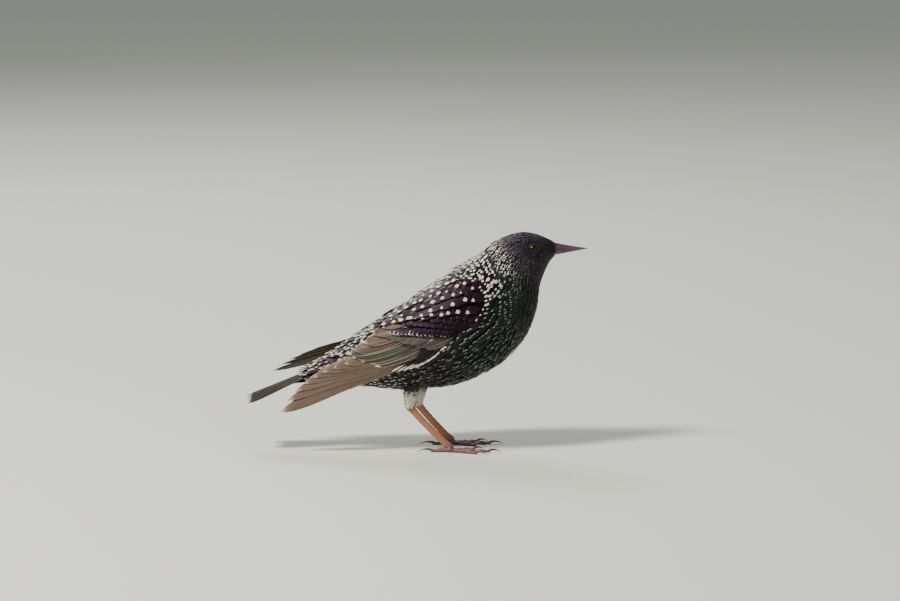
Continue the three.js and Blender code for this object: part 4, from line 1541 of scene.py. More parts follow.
@dataclass
class Wing:
    """One folded wing, every flight feather and covert a feather of its own."""

    surface: WingSurface
    name: str
    seed: int
    pattern: CoatPattern
    brown: Colour = (0.165, 0.112, 0.086)
    olive: Colour = (0.068, 0.069, 0.054)
    tertial: Colour = (0.098, 0.062, 0.050)
    covert: Colour = (0.074, 0.063, 0.052)
    dark: Colour = (0.026, 0.015, 0.022)
    purple: Colour = (0.021, 0.0095, 0.0185)
    buff: Colour = (0.42, 0.30, 0.19)
    pale_buff: Colour = (0.52, 0.44, 0.31)
    cream: Colour = (0.66, 0.59, 0.38)
    white: Colour = (0.76, 0.73, 0.57)
    primary_tips: tuple[float, ...] = (87.5, 131.0, 13.2, 0.92)
    primary_count: int = 9
    settle: float = 7.0
    shoulder: float = -7.0

    def rows(self) -> list[FeatherRow]:
        """Lists the wing's rows, whose tertials follow how far the wing is raised.

        Returns:
            The rows from the lowest layer out.
        """
        large, small = VaneDetail.LARGE, VaneDetail.SMALL
        top, step = 25 - 34 * self.surface.raised, 0.25 - 1.7 * self.surface.raised
        purple, white, cream, buff = self.purple, self.white, self.cream, self.buff
        flight = {"detail": large, "layer": "flight", "form": FRINGED}
        edged = {"blunt": 0.5, "gloss": 0.3, "layer": "flight", "form": EDGED}
        lesser = {"gloss": 0.7, "detail": small}
        scapular = {"gloss": 0.65, "jitter": 1.6, "on_back": True}
        wing = [
            FeatherRow("secondaries", 8, (69, 6.2), (84, 16.6), 40, 3, 5.6, (0.6, 1.75), 0.1,
                       self.olive, cream, 0.06, 0.75, 0.1, **flight),
            FeatherRow("tertials", 4, (79.5, 17.6), (60, top), 34, 2, 8, (0.9, 2.6), step,
                       self.tertial, self.pale_buff, 0.05, 0.8, 0.1, **flight),
            FeatherRow("primary coverts", 7, (51, 0.6), (44, 6.2), 20, 0, 3.2, (1, 1.8), 0.06,
                       self.dark, buff, **edged),
            FeatherRow("alula", 3, (46, -1.4), (38, 2.4), 20, 0, 4.2, (1.0, 2.0), 0.14,
                       self.dark, buff, **edged),
            FeatherRow("edge coverts", 6, (60, 0.6), (38, 1.0), 15, -0.6, 4.4, (0.6, 1.4), 0.05,
                       self.dark, buff, sag=-1.6, **edged),
            FeatherRow("greater coverts", 13, (41, 4.6), (63, 21), 22, 2, 3.6, (1, 2.5), 0.03,
                       self.covert, self.pale_buff, 0.0, 0.6, 0.1, layer="flight", form=FRINGED),
            FeatherRow("median coverts", 16, (28, 5.6), (57, 20), 14, 1.5, 4.2, (1.2, 2.75), 0.03,
                       purple, white, 0.036, 0.8, 0.8, form=EDGED, swell=0.6),
            FeatherRow("lower lesser coverts", 10, (22, 6), (51, 23), 12, 1, 4.2, (1.2, 2.75),
                       0.02, purple, buff, **lesser),
            FeatherRow("middle lesser coverts", 10, (16, 6), (44, 21.5), 11, 1, 4, (1.2, 2.7),
                       0.02, purple, buff, **lesser),
            FeatherRow("upper lesser coverts", 9, (11, 6.5), (36, 20), 10, 0.5, 4, (1.1, 2.6),
                       0.02, purple, buff, 0.03, **lesser),
            FeatherRow("bend", 10, (14.5, 5.6), (3.6, 19.8), 8, 0, 2.4, (0.2, 2.45), 0.0,
                       purple, white, 0.28, 0.4, 0.6, small, bulge=-5.5, jitter=0.3),
            # The leading edge's broad white tips are partly the feathers' pale edges and partly a
            # painted highlight of sunlight along the wing's edge.
            FeatherRow("leading edge", 10, (63, 1.9), (34.5, 0.8), 10, -0.4, 1.5, (0.7, 2.6), 0.0,
                       self.dark, white, 0.66, 0.3, 0.2, small, jitter=0.25, sag=-2.8),
            FeatherRow("lowest scapulars", 9, (15, 12.2), (50, 25), 14, 0, 5, (1.4, 3.4), 0.0,
                       purple, cream, 0.17, bulge=1.0, **{**scapular, "jitter": 1.3}),
            FeatherRow("lower scapulars", 11, (9, 16.5), (66, 27.5), 15, 0, 5.2, (1.3, 3.75), 0.0,
                       purple, white, 0.16, bulge=1.0, **scapular),
            FeatherRow("middle scapulars", 11, (8, 21), (64, 30), 14, 0, 5, (1.1, 3.3), 0.0,
                       purple, cream, 0.17, bulge=0.5, **scapular),
            FeatherRow("upper scapulars", 11, (11, 25.5), (60, 32.5), 13, 0, 4.6, (0.8, 2.7), 0.0,
                       purple, white, 0.2, 0.65, bulge=0.5, **scapular),
            FeatherRow("top scapulars", 11, (13, 29.5), (56, 35.5), 12, 0, 4.2, (0.5, 1.8), 0.0,
                       purple, cream, 0.24, 0.6, **scapular),
        ]
        return wing + [row for group in COVERS for row in group.made()]

    def row_vanes(self, row: FeatherRow, rng: np.random.Generator) -> Vanes:
        """Lays out one row.

        Args:
            row: The row.
            rng: The wing's random numbers.

        Returns:
            Its feathers, with their roots behind their tips by the row's length and slant.
        """
        count, raised = row.count, self.surface.raised
        t = np.linspace(0, 1, count)
        tips = columns(*(mix(a, b, t) for a, b in zip(row.first, row.last)))
        tips += np.array([row.bulge, row.sag]) * np.sin(np.pi * t)[:, None]
        tips += rng.normal(0, 0.35 * row.jitter, tips.shape) * (count > 4)
        back = row.back * rng.uniform(0.96, 1.04, count)
        roots = tips - columns(back, row.slant)
        settled, rise = 0.0, self.shoulder
        if row.on_back:
            settled, rise = self.settle * raised * t, roots[:, 0].min()
            tips[:, 1] -= raised * tips[:, 0]
            roots[:, 1] -= raised * roots[:, 0]
        ground = rgba(np.array(row.ground) * rng.uniform(0.7, 1.3, (count, 1)), row.gloss, count)
        spot = row.spot * rng.uniform(0.55, 1.3, count) * mix(1 - row.swell, 1 + row.swell, t)
        pale = rgba(row.pale, spot, count)
        sunk = mix(-1.0, row.lift[0], smoothstep(rise, rise + 16, roots[:, 0]))
        form = np.tile(row.form, (count, 1))
        form[:, 1] *= rng.uniform(0.35, 1.25, count)
        if row.layer == "lapping":
            ground, pale, form = self.body_colours(roots, rng)
        LOG.debug("%s: %d feathers", row.name, count)
        high = row.lift[1] - settled + row.step * np.arange(count) + rng.normal(0, 0.04, count)
        return Vanes.between(
            roots,
            tips,
            inner=row.width * 0.58,
            outer=row.width * 0.42,
            low=np.minimum(sunk, row.lift[0]),
            high=high,
            tilt=-0.05 * row.width,
            crown=0.03 * row.width,
            curve=rng.normal(0, 0.01, count) * back,
            blunt=row.blunt,
            ground=ground,
            tip=pale,
            form=form,
        )

    def body_colours(self, roots: Array, rng: np.random.Generator) -> tuple[Array, Array, Array]:
        """Gives feathers that lap over the wing the body's colours at their own place.

        Args:
            roots: Length and arc of each root.
            rng: The wing's random numbers.

        Returns:
            The ground and the tip colours, and the markings' form.
        """
        zero = np.zeros((len(roots), 1, 1))
        points = self.surface.spread(roots, zero + 5, zero, zero)[:, 0, 0]
        station, angle = self.surface.body.nearest(points).T
        chance = rng.uniform(0, 1, (2, len(roots)))
        ground = self.pattern.ground(station, angle, chance[0])
        pale = self.pattern.tip(station, angle, chance[1])
        pale[:, 3] *= 0.9
        return ground, pale, self.pattern.form(station, angle)

    def primaries(self, rng: np.random.Generator) -> Vanes:
        """Lays out the primaries, whose tips run from the shortest out to the wing's point.

        Args:
            rng: The wing's random numbers.

        Returns:
            The feathers.
        """
        shortest, longest, arc, fall = self.primary_tips
        count = self.primary_count
        rank = np.minimum(np.arange(count) / (count - 2), 1.03)
        length = mix(shortest, longest, np.minimum(rank, 1) ** 0.93)
        length[-1] -= 2.2
        return Vanes.between(
            columns(46.0, np.linspace(9.5, 2.6, count)),
            columns(length, arc * (1 - fall * rank**3)),
            inner=4.3,
            outer=2.6,
            low=0.5,
            high=0.55 + 0.2 * np.arange(count - 1, -1, -1),
            tilt=-0.2,
            crown=0.12,
            curve=-0.5,
            blunt=0.7,
            ground=rgba(np.array(self.brown) * rng.uniform(0.9, 1.1, (count, 1)), 0.1, count),
            tip=rgba(self.buff, 0.05, count),
            form=FRINGED,
        )

    def maker(self, layer: str, detail: VaneDetail) -> VaneMaker:
        """Returns what makes a row's feathers, thicker in flight and with a shaft if large."""
        size = (0.22 if layer == "flight" else 0.14, 0.16 if detail is VaneDetail.LARGE else 0.05)
        return VaneMaker(detail, *size, root_share=0.5, tip_start=0.7)

    def build(self, material: Material) -> None:
        """Makes the wing's pieces: flight feathers, coverts, and body feathers that lap over it.

        Args:
            material: The finish of all its feathers.
        """
        rng = np.random.default_rng(self.seed)
        primaries = (self.primaries(rng), self.maker("flight", VaneDetail.LARGE))
        groups = {"flight": [primaries]}
        for row in self.rows():
            made = (self.row_vanes(row, rng), self.maker(row.layer, row.detail))
            groups.setdefault(row.layer, []).append(made)
        for label, rows in groups.items():
            name = f"wing_{self.name}_{label}"
            piece = lay_rows(rows, self.surface).to_object(name, material, "wing_feathers")
            if label == "flight":
                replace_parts(piece, f"wing_{self.name}")


# Tail


@dataclass(frozen=True)
class TailSurface:
    """The tail's plane, from its length past the root and its distance from the middle."""

    root: Pair = (-38.0, 52.9)
    slope: float = 23.0
    arch: float = 0.016

    def spread(self, root: Array, along: Array, across: Array, height: Array) -> Array:
        """Lays a feather's own lengths on the tail's plane.

        Args:
            root: Length and distance from the middle of each root, shape (feathers, 2).
            along: Millimetres toward the tip.
            across: Millimetres to the left.
            height: Millimetres above the plane, which droops by arch times y squared.

        Returns:
            The points.
        """
        y = root[:, 1, None, None] + across
        run, up = root[:, 0, None, None] + along, height - self.arch * y * y
        return down_slope(self.root, math.radians(self.slope), run, y, up)


@dataclass(frozen=True)
class CovertFan:
    """One fan of coverts over or under the tail."""

    count: int
    tip: float
    back: float
    spread: float
    width: float
    lift: Pair
    ground: Colour
    pale: Colour
    spot: float


@dataclass
class Tail:
    """Twelve tail feathers, the coverts above them and the long ones below."""

    surface: TailSurface = field(default_factory=TailSurface)
    length: float = 62.4
    pairs: int = 6
    root_y: Pair = (0.9, 5.0)
    tip_y: Pair = (1.7, 10.0)
    notch: float = 1.4
    brown: Colour = (0.046, 0.031, 0.028)
    fringe: Colour = (0.58, 0.52, 0.42)
    covert: Colour = (0.030, 0.020, 0.026)
    vane_halves: Pair = (3.9, 2.7)
    seed: int = 5

    def feathers(self, rng: np.random.Generator) -> Vanes:
        """Lays out the twelve feathers, the middle pair on top.

        Args:
            rng: The tail's random numbers.

        Returns:
            The feathers.
        """
        rank = np.repeat(np.arange(self.pairs), 2)
        side = np.tile([-1, 1], self.pairs)
        t = rank / (self.pairs - 1)
        wide, narrow = self.vane_halves
        shade = rng.uniform(0.9, 1.1, (len(t), 1))
        return Vanes.between(
            columns(8.0, side * mix(*self.root_y, t)),
            columns(self.length - self.notch * (1 - t), side * mix(*self.tip_y, t)),
            inner=np.where(side > 0, narrow, wide),
            outer=np.where(side > 0, wide, narrow),
            low=0.2,
            high=1.0 - 0.3 * rank,
            tilt=side * 0.15,
            crown=0.1,
            blunt=0.7,
            ground=rgba(np.array(self.brown) * shade, 0.15, len(t)),
            tip=rgba(self.fringe, 0.03, len(t)),
            form=(-0.8, 0.12, 140.0),
        )

    def fans(self, pattern: CoatPattern) -> list[CovertFan]:
        """Lists the covert fans.

        Args:
            pattern: The body's colours.

        Returns:
            Three fans above the tail and three below it, each from the lowest layer out.
        """
        dark, buff, white = self.covert, pattern.buff, pattern.white
        return [
            CovertFan(8, 31, 15, 6.8, 4.2, (0.8, 1.9), dark, buff, 0.12),
            CovertFan(8, 27, 14, 7.6, 4.2, (1.2, 2.6), dark, white, 0.16),
            CovertFan(8, 22.5, 13, 8.0, 4.2, (1.6, 3.6), dark, white, 0.18),
            CovertFan(6, 40, 20, 5.2, 5, (-4.6, -1.6), pattern.brown, white, 0.16),
            CovertFan(6, 34, 18, 5.6, 5, (-6.2, -3.0), pattern.brown, white, 0.18),
            CovertFan(6, 28, 16, 6.0, 5, (-8.2, -4.8), pattern.brown, white, 0.2),
        ]

    def fan_vanes(self, fan: CovertFan, rng: np.random.Generator) -> Vanes:
        """Lays out one fan.

        Args:
            fan: The fan.
            rng: The tail's random numbers.

        Returns:
            Its feathers, shorter toward the sides.
        """
        count = fan.count
        y = np.linspace(-fan.spread, fan.spread, count) + rng.normal(0, 0.3, count)
        tip = fan.tip - 4 * (y / fan.spread) ** 2 + rng.normal(0, 0.5, count)
        return Vanes.between(
            columns(tip - fan.back, 0.75 * y),
            columns(tip, y),
            inner=fan.width / 2,
            outer=fan.width / 2,
            low=fan.lift[0],
            high=fan.lift[1] + rng.normal(0, 0.05, count),
            crown=math.copysign(0.15, fan.lift[1]),
            blunt=0.6,
            ground=rgba(fan.ground, 0.4, count),
            tip=rgba(fan.pale, fan.spot * rng.uniform(0.8, 1.2, count), count),
        )

    def build(self, pattern: CoatPattern, material: Material) -> None:
        """Makes the tail feathers and the coverts as two pieces.

        Args:
            pattern: The body's markings.
            material: The finish of them all.
        """
        rng = np.random.default_rng(self.seed)
        large = VaneMaker(VaneDetail.LARGE, 0.22, 0.16, root_share=0.5, tip_start=0.8)
        made = lay_rows([(self.feathers(rng), large)], self.surface)
        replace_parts(made.to_object("tail_fan", material, "tail_feathers"), "tail")
        small = VaneMaker(VaneDetail.COVERT, 0.16, 0.04, root_share=0.6, tip_start=0.6)
        rows = [(self.fan_vanes(fan, rng), small) for fan in self.fans(pattern)]
        made = lay_rows(rows, self.surface)
        made.to_object("tail_coverts", material, "tail_feathers")


# Bill and eyes


@dataclass
class Bill:
    """The straight pointed bill in two halves, with nostrils and the line of the mouth."""

    body: BodyShape
    top: float = 116.7
    mouth: float = 111.4
    bottom: float = 108.6
    tip: Pair = (95.6, 112.6)
    sunk: float = 0.6
    half_width: float = 3.5
    tip_half: float = 0.45
    gap: float = 0.12
    nostril: Vector = (0.16, 0.62, 1.0)
    rings: int = 70
    sides: int = 40
    horn: Colour = (0.125, 0.032, 0.088)
    root: Colour = (0.036, 0.010, 0.027)
    base: Colour = (0.15, 0.15, 0.13)
    ridge: Colour = (0.030, 0.010, 0.024)

    def base_x(self, z: float) -> float:
        """Returns how far forward the front of the head lies at a height."""
        back_x, back_z, belly_x, belly_z = self.body.stations[-1][:4]
        return mix(back_x, belly_x, (back_z - z) / (back_z - belly_z)) - self.sunk

    def half(self, edge_z: float, mouth_z: float, reach: float) -> MeshData:
        """One half of the bill.

        Rings run from base to tip. Each is flat along the mouth and a rounded gable over the
        ridge or keel: height = sin(angle) ** 0.85. The nostril is a shallow oval pit.

        Args:
            edge_z: The ridge's or keel's height at the base.
            mouth_z: The mouth's height at the base.
            reach: How far it runs, as a share of the upper half's length.

        Returns:
            The mesh with its painted horn.
        """
        t = (np.linspace(0, 1, self.rings) ** 0.9 * reach)[:, None]
        angle = np.linspace(0, np.pi, self.sides)[None, :]
        flat = np.linspace(-1, 1, 12)[None, 1:-1]
        taper = 1 - t**1.15
        half = mix(self.tip_half, self.half_width, taper)
        upward = np.sign(edge_z - mouth_z)
        rise = np.sin(angle) ** 0.85
        bulge = -0.45 * np.sin(np.pi * t**0.7) * (upward > 0)
        edge = [mix(self.base_x(edge_z), self.tip[0], t), mix(edge_z, self.tip[1], t) + bulge]
        line = [mix(self.base_x(mouth_z), self.tip[0], t), mix(mouth_z, self.tip[1], t)]
        x = mix(line[0], edge[0], rise)
        y = half * np.cos(angle) * (1 - 0.06 * bell(rise, 0.18, 0.12))
        z = mix(line[1], edge[1], rise)
        if upward > 0:
            place, height, depth = self.nostril
            pit = np.exp(-(((t - place) / 0.055) ** 2) - ((rise - height) / 0.11) ** 2)
            y = y * (1 - 0.28 * depth * pit * (np.abs(np.cos(angle)) > 0.05))
        hollow = 0.25 * upward * (1 - flat**2) * taper
        lower = columns(line[0], half * flat * 0.98, line[1] + hollow)
        share = np.clip(1 - t / 0.3, 0, 1) * (0.0 if upward > 0 else 1.0)
        along = np.broadcast_to(smoothstep(0.0, 0.75, t), x.shape)
        colour = blend_colour(self.root, self.horn, along)
        colour = blend_colour(colour, self.base, np.broadcast_to(share, x.shape))
        colour = blend_colour(colour, self.ridge, 0.6 * rise**6 * np.ones_like(x))
        # Painted shade: the flat faces along the mouth, which face each other across the narrow gap,
        # are darkened to 0.4 of the horn's colour at the mouth line.
        mouth_shade = np.broadcast_to(colour[:, :1], (*lower.shape[:2], 3)) * 0.4
        rings = np.concatenate([columns(x, y, z), lower], 1)
        return tube(rings).painted(np.concatenate([colour, mouth_shade], 1))

    def build(self, material: Material) -> None:
        """Makes both halves.

        Args:
            material: The horn.
        """
        for name, edge, mouth, reach in (
            ("bill_upper", self.top, self.mouth + self.gap / 2, 1.0),
            ("bill_lower", self.bottom, self.mouth - self.gap / 2, 0.95),
        ):
            piece = self.half(edge, mouth, reach).to_object(f"{name}_horn", material, "bill_horn")
            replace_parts(piece, name)


@dataclass
class Plumes:
    """Tiny dark plumes, the smallest feathers of the face."""

    body: BodyShape
    half: float = 0.34
    low: float = -0.25
    crown: float = 0.04
    blunt: float = 0.2
    lengths: Pair = (2.0, 3.1)
    highs: Pair = (0.04, 0.2)
    dark: Colour = (0.020, 0.015, 0.024)
    shades: Pair = (0.6, 1.5)

    def lay(self, rng: np.random.Generator, root: Array, **values: object) -> Vanes:
        """Lays out plumes of one kind.

        Args:
            rng: The plumes' random numbers.
            root: Station and angle of each root.
            values: Each plume's heading, its reach, the share of its length that it keeps,
                and its sink, the millimetres by which its tip lies lower.

        Returns:
            The plumes.
        """
        count = len(root)
        shade = rng.uniform(*self.shades, (count, 1))
        return Vanes.alike(
            root,
            heading=values["heading"] + rng.normal(0, 0.1, count),
            length=rng.uniform(*self.lengths, count) * values["reach"],
            inner=self.half,
            outer=self.half,
            low=self.low,
            high=rng.uniform(*self.highs, count) - values["sink"],
            crown=self.crown,
            blunt=self.blunt,
            ground=rgba(np.array(self.dark) * shade, 0.2, count),
            tip=np.zeros((count, 4)),
            patch=grid_patches(count)[:, :2],
        )

    def make(self, name: str, vanes: Vanes, surface: BodyShape, material: Material) -> None:
        """Makes the plumes one piece on a surface."""
        made = VaneMaker(VaneDetail.TINY, 0.08, root_share=0.7).build(vanes, surface)
        made.to_object(name, material, "plumage")


@dataclass
class FacePlumes(Plumes):
    """Short plumes that lie forward from the forehead and lores over the bill's base."""

    muzzle: tuple[tuple[float, ...], ...] = (
        (76.4, 116.3, 78.0, 108.5, 3.9),
        (80.0, 115.3, 81.0, 109.1, 3.1),
        (84.0, 114.7, 84.5, 109.8, 2.6),
    )
    rows: tuple[float, ...] = (14.2, 14.4, 14.55, 14.7, 14.85, 15.0, 15.15, 15.32)
    chin: tuple[float, ...] = (15.35, 15.2, 15.05)
    count: int = 34
    reach: float = 0.66
    seed: int = 8

    def build(self, material: Material) -> None:
        """Makes the plumes on a loft that runs on from the head to the bill.

        Args:
            material: The plumage.
        """
        rng = np.random.default_rng(self.seed)
        turn = np.linspace(-self.reach, self.reach, self.count) * np.pi
        lines = [columns(row, turn + 0.02 * (k % 2)) for k, row in enumerate(self.rows)]
        below = np.linspace(self.reach, 2 - self.reach, self.count // 2) * np.pi
        root = np.concatenate(lines + [columns(row, below) for row in self.chin])
        root = root + rng.normal(0, 0.02, root.shape)
        rearward = np.arange(len(root)) >= self.count * len(self.rows)
        side = np.where(rearward, 0.0, np.abs(root[:, 1]) / np.pi)
        vanes = self.lay(
            rng,
            root,
            heading=np.where(rearward, 0.0, np.pi),
            reach=(1.2 - 0.65 * side) * (1 - 0.4 * smoothstep(14.8, 15.3, root[:, 0])),
            sink=0.35 * smoothstep(14.8, 15.2, root[:, 0]),
        )
        self.make("face_plumes", vanes, BodyShape(self.body.stations + self.muzzle), material)


@dataclass
class EyePlumes(Plumes):
    """Tiny plumes in rings round each eye, that point away from it and a little rearward."""

    eye: Vector = (0.0, 0.0, 0.0)
    half: float = 0.32
    low: float = 0.1
    crown: float = 0.05
    blunt: float = 0.3
    lengths: Pair = (1.5, 1.9)
    highs: Pair = (0.2, 0.34)
    rings: tuple[float, ...] = (2.95, 3.5, 4.1)
    count: int = 30
    swirl: float = 0.75
    seed: int = 17

    def build(self, material: Material) -> None:
        """Makes the plumes of both eyes as one piece.

        Args:
            material: The plumage.
        """
        rng = np.random.default_rng(self.seed)
        roots, turns = [], []
        for middle in self.body.nearest(np.array(self.eye) * [[1, 1, 1], [1, -1, 1]]):
            scale = self.body.scale(*middle)
            for k, radius in enumerate(self.rings):
                turn = (np.arange(self.count) + 0.5 * (k % 2)) / self.count * 2 * np.pi
                turn = turn + rng.normal(0, 0.06, self.count)
                roots.append(middle + radius * (columns(np.cos(turn), np.sin(turn)) / scale))
                turns.append(turn)
        turn = np.concatenate(turns)
        heading = np.arctan2(np.sin(turn), self.swirl - np.cos(turn))
        reach = 1 - 0.35 * np.cos(turn)
        vanes = self.lay(rng, np.concatenate(roots), heading=heading, reach=reach, sink=0.0)
        self.make("eye_plumes", vanes, self.body, material)


@dataclass
class Eyes:
    """The eyes and the rims of their lids."""

    body: BodyShape
    centre: Vector = (64.4, 8.6, 113.2)
    radius: float = 3.1
    look: Pair = (0.24, 0.06)
    rim: float = 2.75
    lid_thickness: float = 0.3
    lid_colour: Colour = (0.009, 0.008, 0.009)

    def axes(self, side: int) -> tuple[Array, Array]:
        """Finds where one eye lies and how it looks.

        Args:
            side: -1 for the right eye and 1 for the left.

        Returns:
            Its centre, and its outward, forward and upward directions as rows.
        """
        outward = unit(np.array([self.look[0], side, self.look[1]], float))
        upward = unit(np.cross(outward, np.array([side, 0.0, 0.0])))
        upward = upward if upward[2] > 0 else -upward
        centre = np.array(self.centre) * np.array([1, side, 1])
        return centre, np.stack([outward, np.cross(upward, outward), upward])

    def ball(self, side: int) -> MeshData:
        """One eyeball as rings about its outward axis, with a slight bulge for the cornea.

        Args:
            side: -1 for the right eye and 1 for the left.

        Returns:
            The mesh, whose map's second axis runs from the pupil's middle to the back.
        """
        polar, turn = np.linspace(0.02, np.pi - 0.02, 36)[:, None], circle(40)[None, :]
        radius = self.radius * (1 + 0.04 * bell(polar, 0, 0.7))
        flat = radius * np.sin(polar)
        amounts = (radius * np.cos(polar), flat * np.cos(turn), flat * np.sin(turn))
        points = along_axes(*self.axes(side), *amounts)
        made = tube(points)
        share = np.broadcast_to(polar / np.pi * 2, points.shape[:2])
        values = np.concatenate([share.reshape(-1), [0.0, 2.0]])
        made.maps = {"Vane": [columns(0.0, values[face]) for face in made.faces]}
        return made

    def lid(self, side: int) -> MeshData:
        """The rim of the lids: a ring about the eye, a little longer than high and beaded.

        Args:
            side: -1 for the right eye and 1 for the left.

        Returns:
            The mesh.
        """
        turn, around = circle(72)[:, None], circle(12)[None, :]
        thick = self.lid_thickness * (1 + 0.10 * np.sin(24 * turn))
        reach = self.rim * (1 + 0.08 * np.cos(turn) ** 2 - 0.03 * np.sin(turn) ** 2)
        reach = reach + 1.25 * thick * np.cos(around)
        height = math.sqrt(self.radius**2 - self.rim**2) + thick * np.sin(around)
        amounts = (height, reach * np.cos(turn), reach * np.sin(turn))
        points = along_axes(*self.axes(side), *amounts)
        index = np.arange(reach.size).reshape(reach.shape)
        ahead = np.roll(index, -1, axis=0)
        turned, both = np.roll(index, -1, axis=1), np.roll(ahead, -1, axis=1)
        quads = np.stack([index, ahead, both, turned], -1).reshape(-1, 4)
        colour = rgba(self.lid_colour, 1.0, reach.size)
        return MeshData(points.reshape(-1, 3), [quads], colours={"Ground": colour})

    def build(self, gloss: Material, lids: Material) -> None:
        """Makes both eyes and their lids.

        Args:
            gloss: The eye's finish.
            lids: The lids' bare skin.
        """
        for side, name in ((-1, "right"), (1, "left")):
            piece = self.ball(side).to_object(f"eyeball_{name}", gloss, "eye")
            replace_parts(piece, f"eye_{name}")
            self.lid(side).to_object(f"lids_{name}", lids, "plumage")


# Legs


@dataclass(frozen=True)
class Toe:
    """One toe: its turn from straight ahead, its length and its claw's length."""

    name: str
    angle: float
    length: float
    claw: float
    joints: int


@dataclass
class Leg:
    """One leg from the feathered thigh down to the claws."""

    side: int
    name: str
    heel: Vector
    foot: Vector
    thigh_top: Pair = (1.5, 41.0)
    thigh_radii: tuple[float, ...] = (7.6, 5.4, 2.6, 2.5)
    thigh_coat: float = 0.4
    seed: int = 40
    shank: Pair = (1.75, 1.25)
    scutes: int = 9
    toes: tuple[Toe, ...] = (
        Toe("inner", 24, 15, 6, 3),
        Toe("middle", -3, 22, 7, 4),
        Toe("outer", -26, 16.5, 6, 4),
        Toe("hallux", 178, 11, 8, 2),
    )
    toe_half: float = 1.25
    toe_height: float = 2.3
    toe_start: float = 1.2
    scute_length: float = 1.25
    claw_root: float = 0.9
    claw_half: float = 0.7
    palm: Vector = (2.6, 2.2, 2.0)
    palm_middle: Pair = (0.9, 1.5)
    skin: Colour = (0.41, 0.120, 0.045)
    pale: Colour = (0.52, 0.24, 0.12)
    dusk: Colour = (0.14, 0.055, 0.070)
    horn: Colour = (0.030, 0.018, 0.020)
    sunlit_tuft: Colour = (0.86, 0.83, 0.66)
    tuft_tip: Colour = (0.82, 0.79, 0.64)
    tuft_dark: Colour = (0.014, 0.012, 0.012)
    core: Colour = (0.05, 0.04, 0.035)

    def shank_mesh(self) -> MeshData:
        """The bare shank.

        An ellipse carried from heel to foot, thicker at both joints. Its front has scutes: a
        sawtooth that steps out at each one's upper edge.

        Returns:
            The mesh.
        """
        heel, foot = np.array([self.heel, self.foot]) * [1, self.side, 1]
        t, angle = np.linspace(-0.03, 1.02, 150)[:, None], circle(36)[None, :]
        middle = mix(heel, foot, t)
        middle[:, 0] -= 0.5 * np.sin(np.pi * t[:, 0])
        swell = 1 + 0.30 * bell(t, 0, 0.09) + 0.30 * smoothstep(0.88, 1.0, t)
        front = np.clip(np.cos(angle), 0, 1) ** 0.7
        saw = (t * self.scutes) % 1
        scute = 0.16 * bell(saw, 0.12, 0.14) - 0.14 * bell(saw, 0.98, 0.05)
        groove = 1 - 0.08 * bell(np.abs(np.sin(angle)), 1, 0.12)
        radius = swell * groove + scute * front
        points = columns(
            middle[:, :1] + self.shank[0] * radius * np.cos(angle),
            middle[:, 1:2] + self.shank[1] * radius * np.sin(angle),
            middle[:, 2:] + 0.5 * np.cos(angle) * self.shank[0],
        )
        # Painted light: the shank's rear side blends toward a paler orange that stands for sunlight
        # on it.
        rear = (1 - np.cos(angle)) / 2 * np.ones_like(t)
        colour = blend_colour(self.skin, self.pale, rear * 0.55)
        low = smoothstep(0.82, 1.0, t) * np.ones_like(angle)
        colour = blend_colour(colour, self.dusk, low * 0.6)
        groove_dark = bell(saw, 0.99, 0.06) * front * 0.6
        return tube(points).painted(blend_colour(colour, self.horn, groove_dark))

    def toe_axes(self, toe: Toe) -> tuple[Array, Array]:
        """Finds where a toe starts and how it points.

        Args:
            toe: The toe.

        Returns:
            Its start on the floor, and its forward, sideways and upward directions as rows.
        """
        angle = math.radians(toe.angle) * -self.side
        c, s = math.cos(angle), math.sin(angle)
        start = np.array([self.foot[0] + self.toe_start, self.side * self.foot[1], 0.0])
        return start, np.array([(c, s, 0.0), (-s, c, 0.0), (0.0, 0.0, 1.0)])

    def toe_mesh(self, toe: Toe) -> MeshData:
        """One toe, flat below, with a pad under each bone and scutes above.

        Args:
            toe: The toe.

        Returns:
            The mesh.
        """
        t, ring = np.linspace(-0.06, 1, 90)[:, None], circle(28)[None, :]
        pad = 1 + 0.10 * np.cos(2 * np.pi * toe.joints * t)
        closing = np.sqrt(np.clip(1 - ((t - 0.9) / 0.1).clip(0, 1) ** 2, 0.02, 1))
        size = mix(1, 0.72, t) * closing
        saw = (t * toe.length / self.scute_length) % 1
        top = np.clip(np.sin(ring), 0, 1)
        scute = (0.07 * bell(saw, 0.2, 0.2) - 0.06 * bell(saw, 0.95, 0.08)) * top
        half = self.toe_half * size * (pad + scute)
        height = self.toe_height * size * (pad + scute) / 2
        z = height * (1 + np.sign(np.sin(ring)) * np.abs(np.sin(ring)) ** 0.9)
        z = np.maximum(z - 0.04, 0.02)
        points = along_axes(*self.toe_axes(toe), t * toe.length, half * np.cos(ring), z)
        colour = blend_colour(self.dusk, self.skin, (1 - top) * 0.35 * np.ones_like(t))
        dark = bell(saw, 0.97, 0.1) * top * 0.5
        return tube(points).painted(blend_colour(colour, self.horn, dark))

    def claw_mesh(self, toe: Toe) -> MeshData:
        """One claw: a tapering tube that arches from the toe's end down to its point.

        Args:
            toe: The toe that carries it.

        Returns:
            The mesh.
        """
        t, ring = np.linspace(0, 1, 30)[:, None], circle(18)[None, :]
        size = mix(0.85, 0.08, t**0.8)
        lift = mix(1.15, 0.16, t**2) + 0.75 * np.sin(np.pi * t)
        reach = toe.length - self.claw_root + t * (toe.claw + self.claw_root)
        keel = 1 - 0.25 * np.clip(-np.sin(ring), 0, 1)
        half = self.claw_half * size * np.cos(ring) * keel
        z = np.maximum(lift + size * np.sin(ring), 0.03)
        points = along_axes(*self.toe_axes(toe), reach, half, z)
        dark = smoothstep(0, 0.4, t) * np.ones_like(ring)
        return tube(points).painted(blend_colour(self.dusk, self.horn, dark))

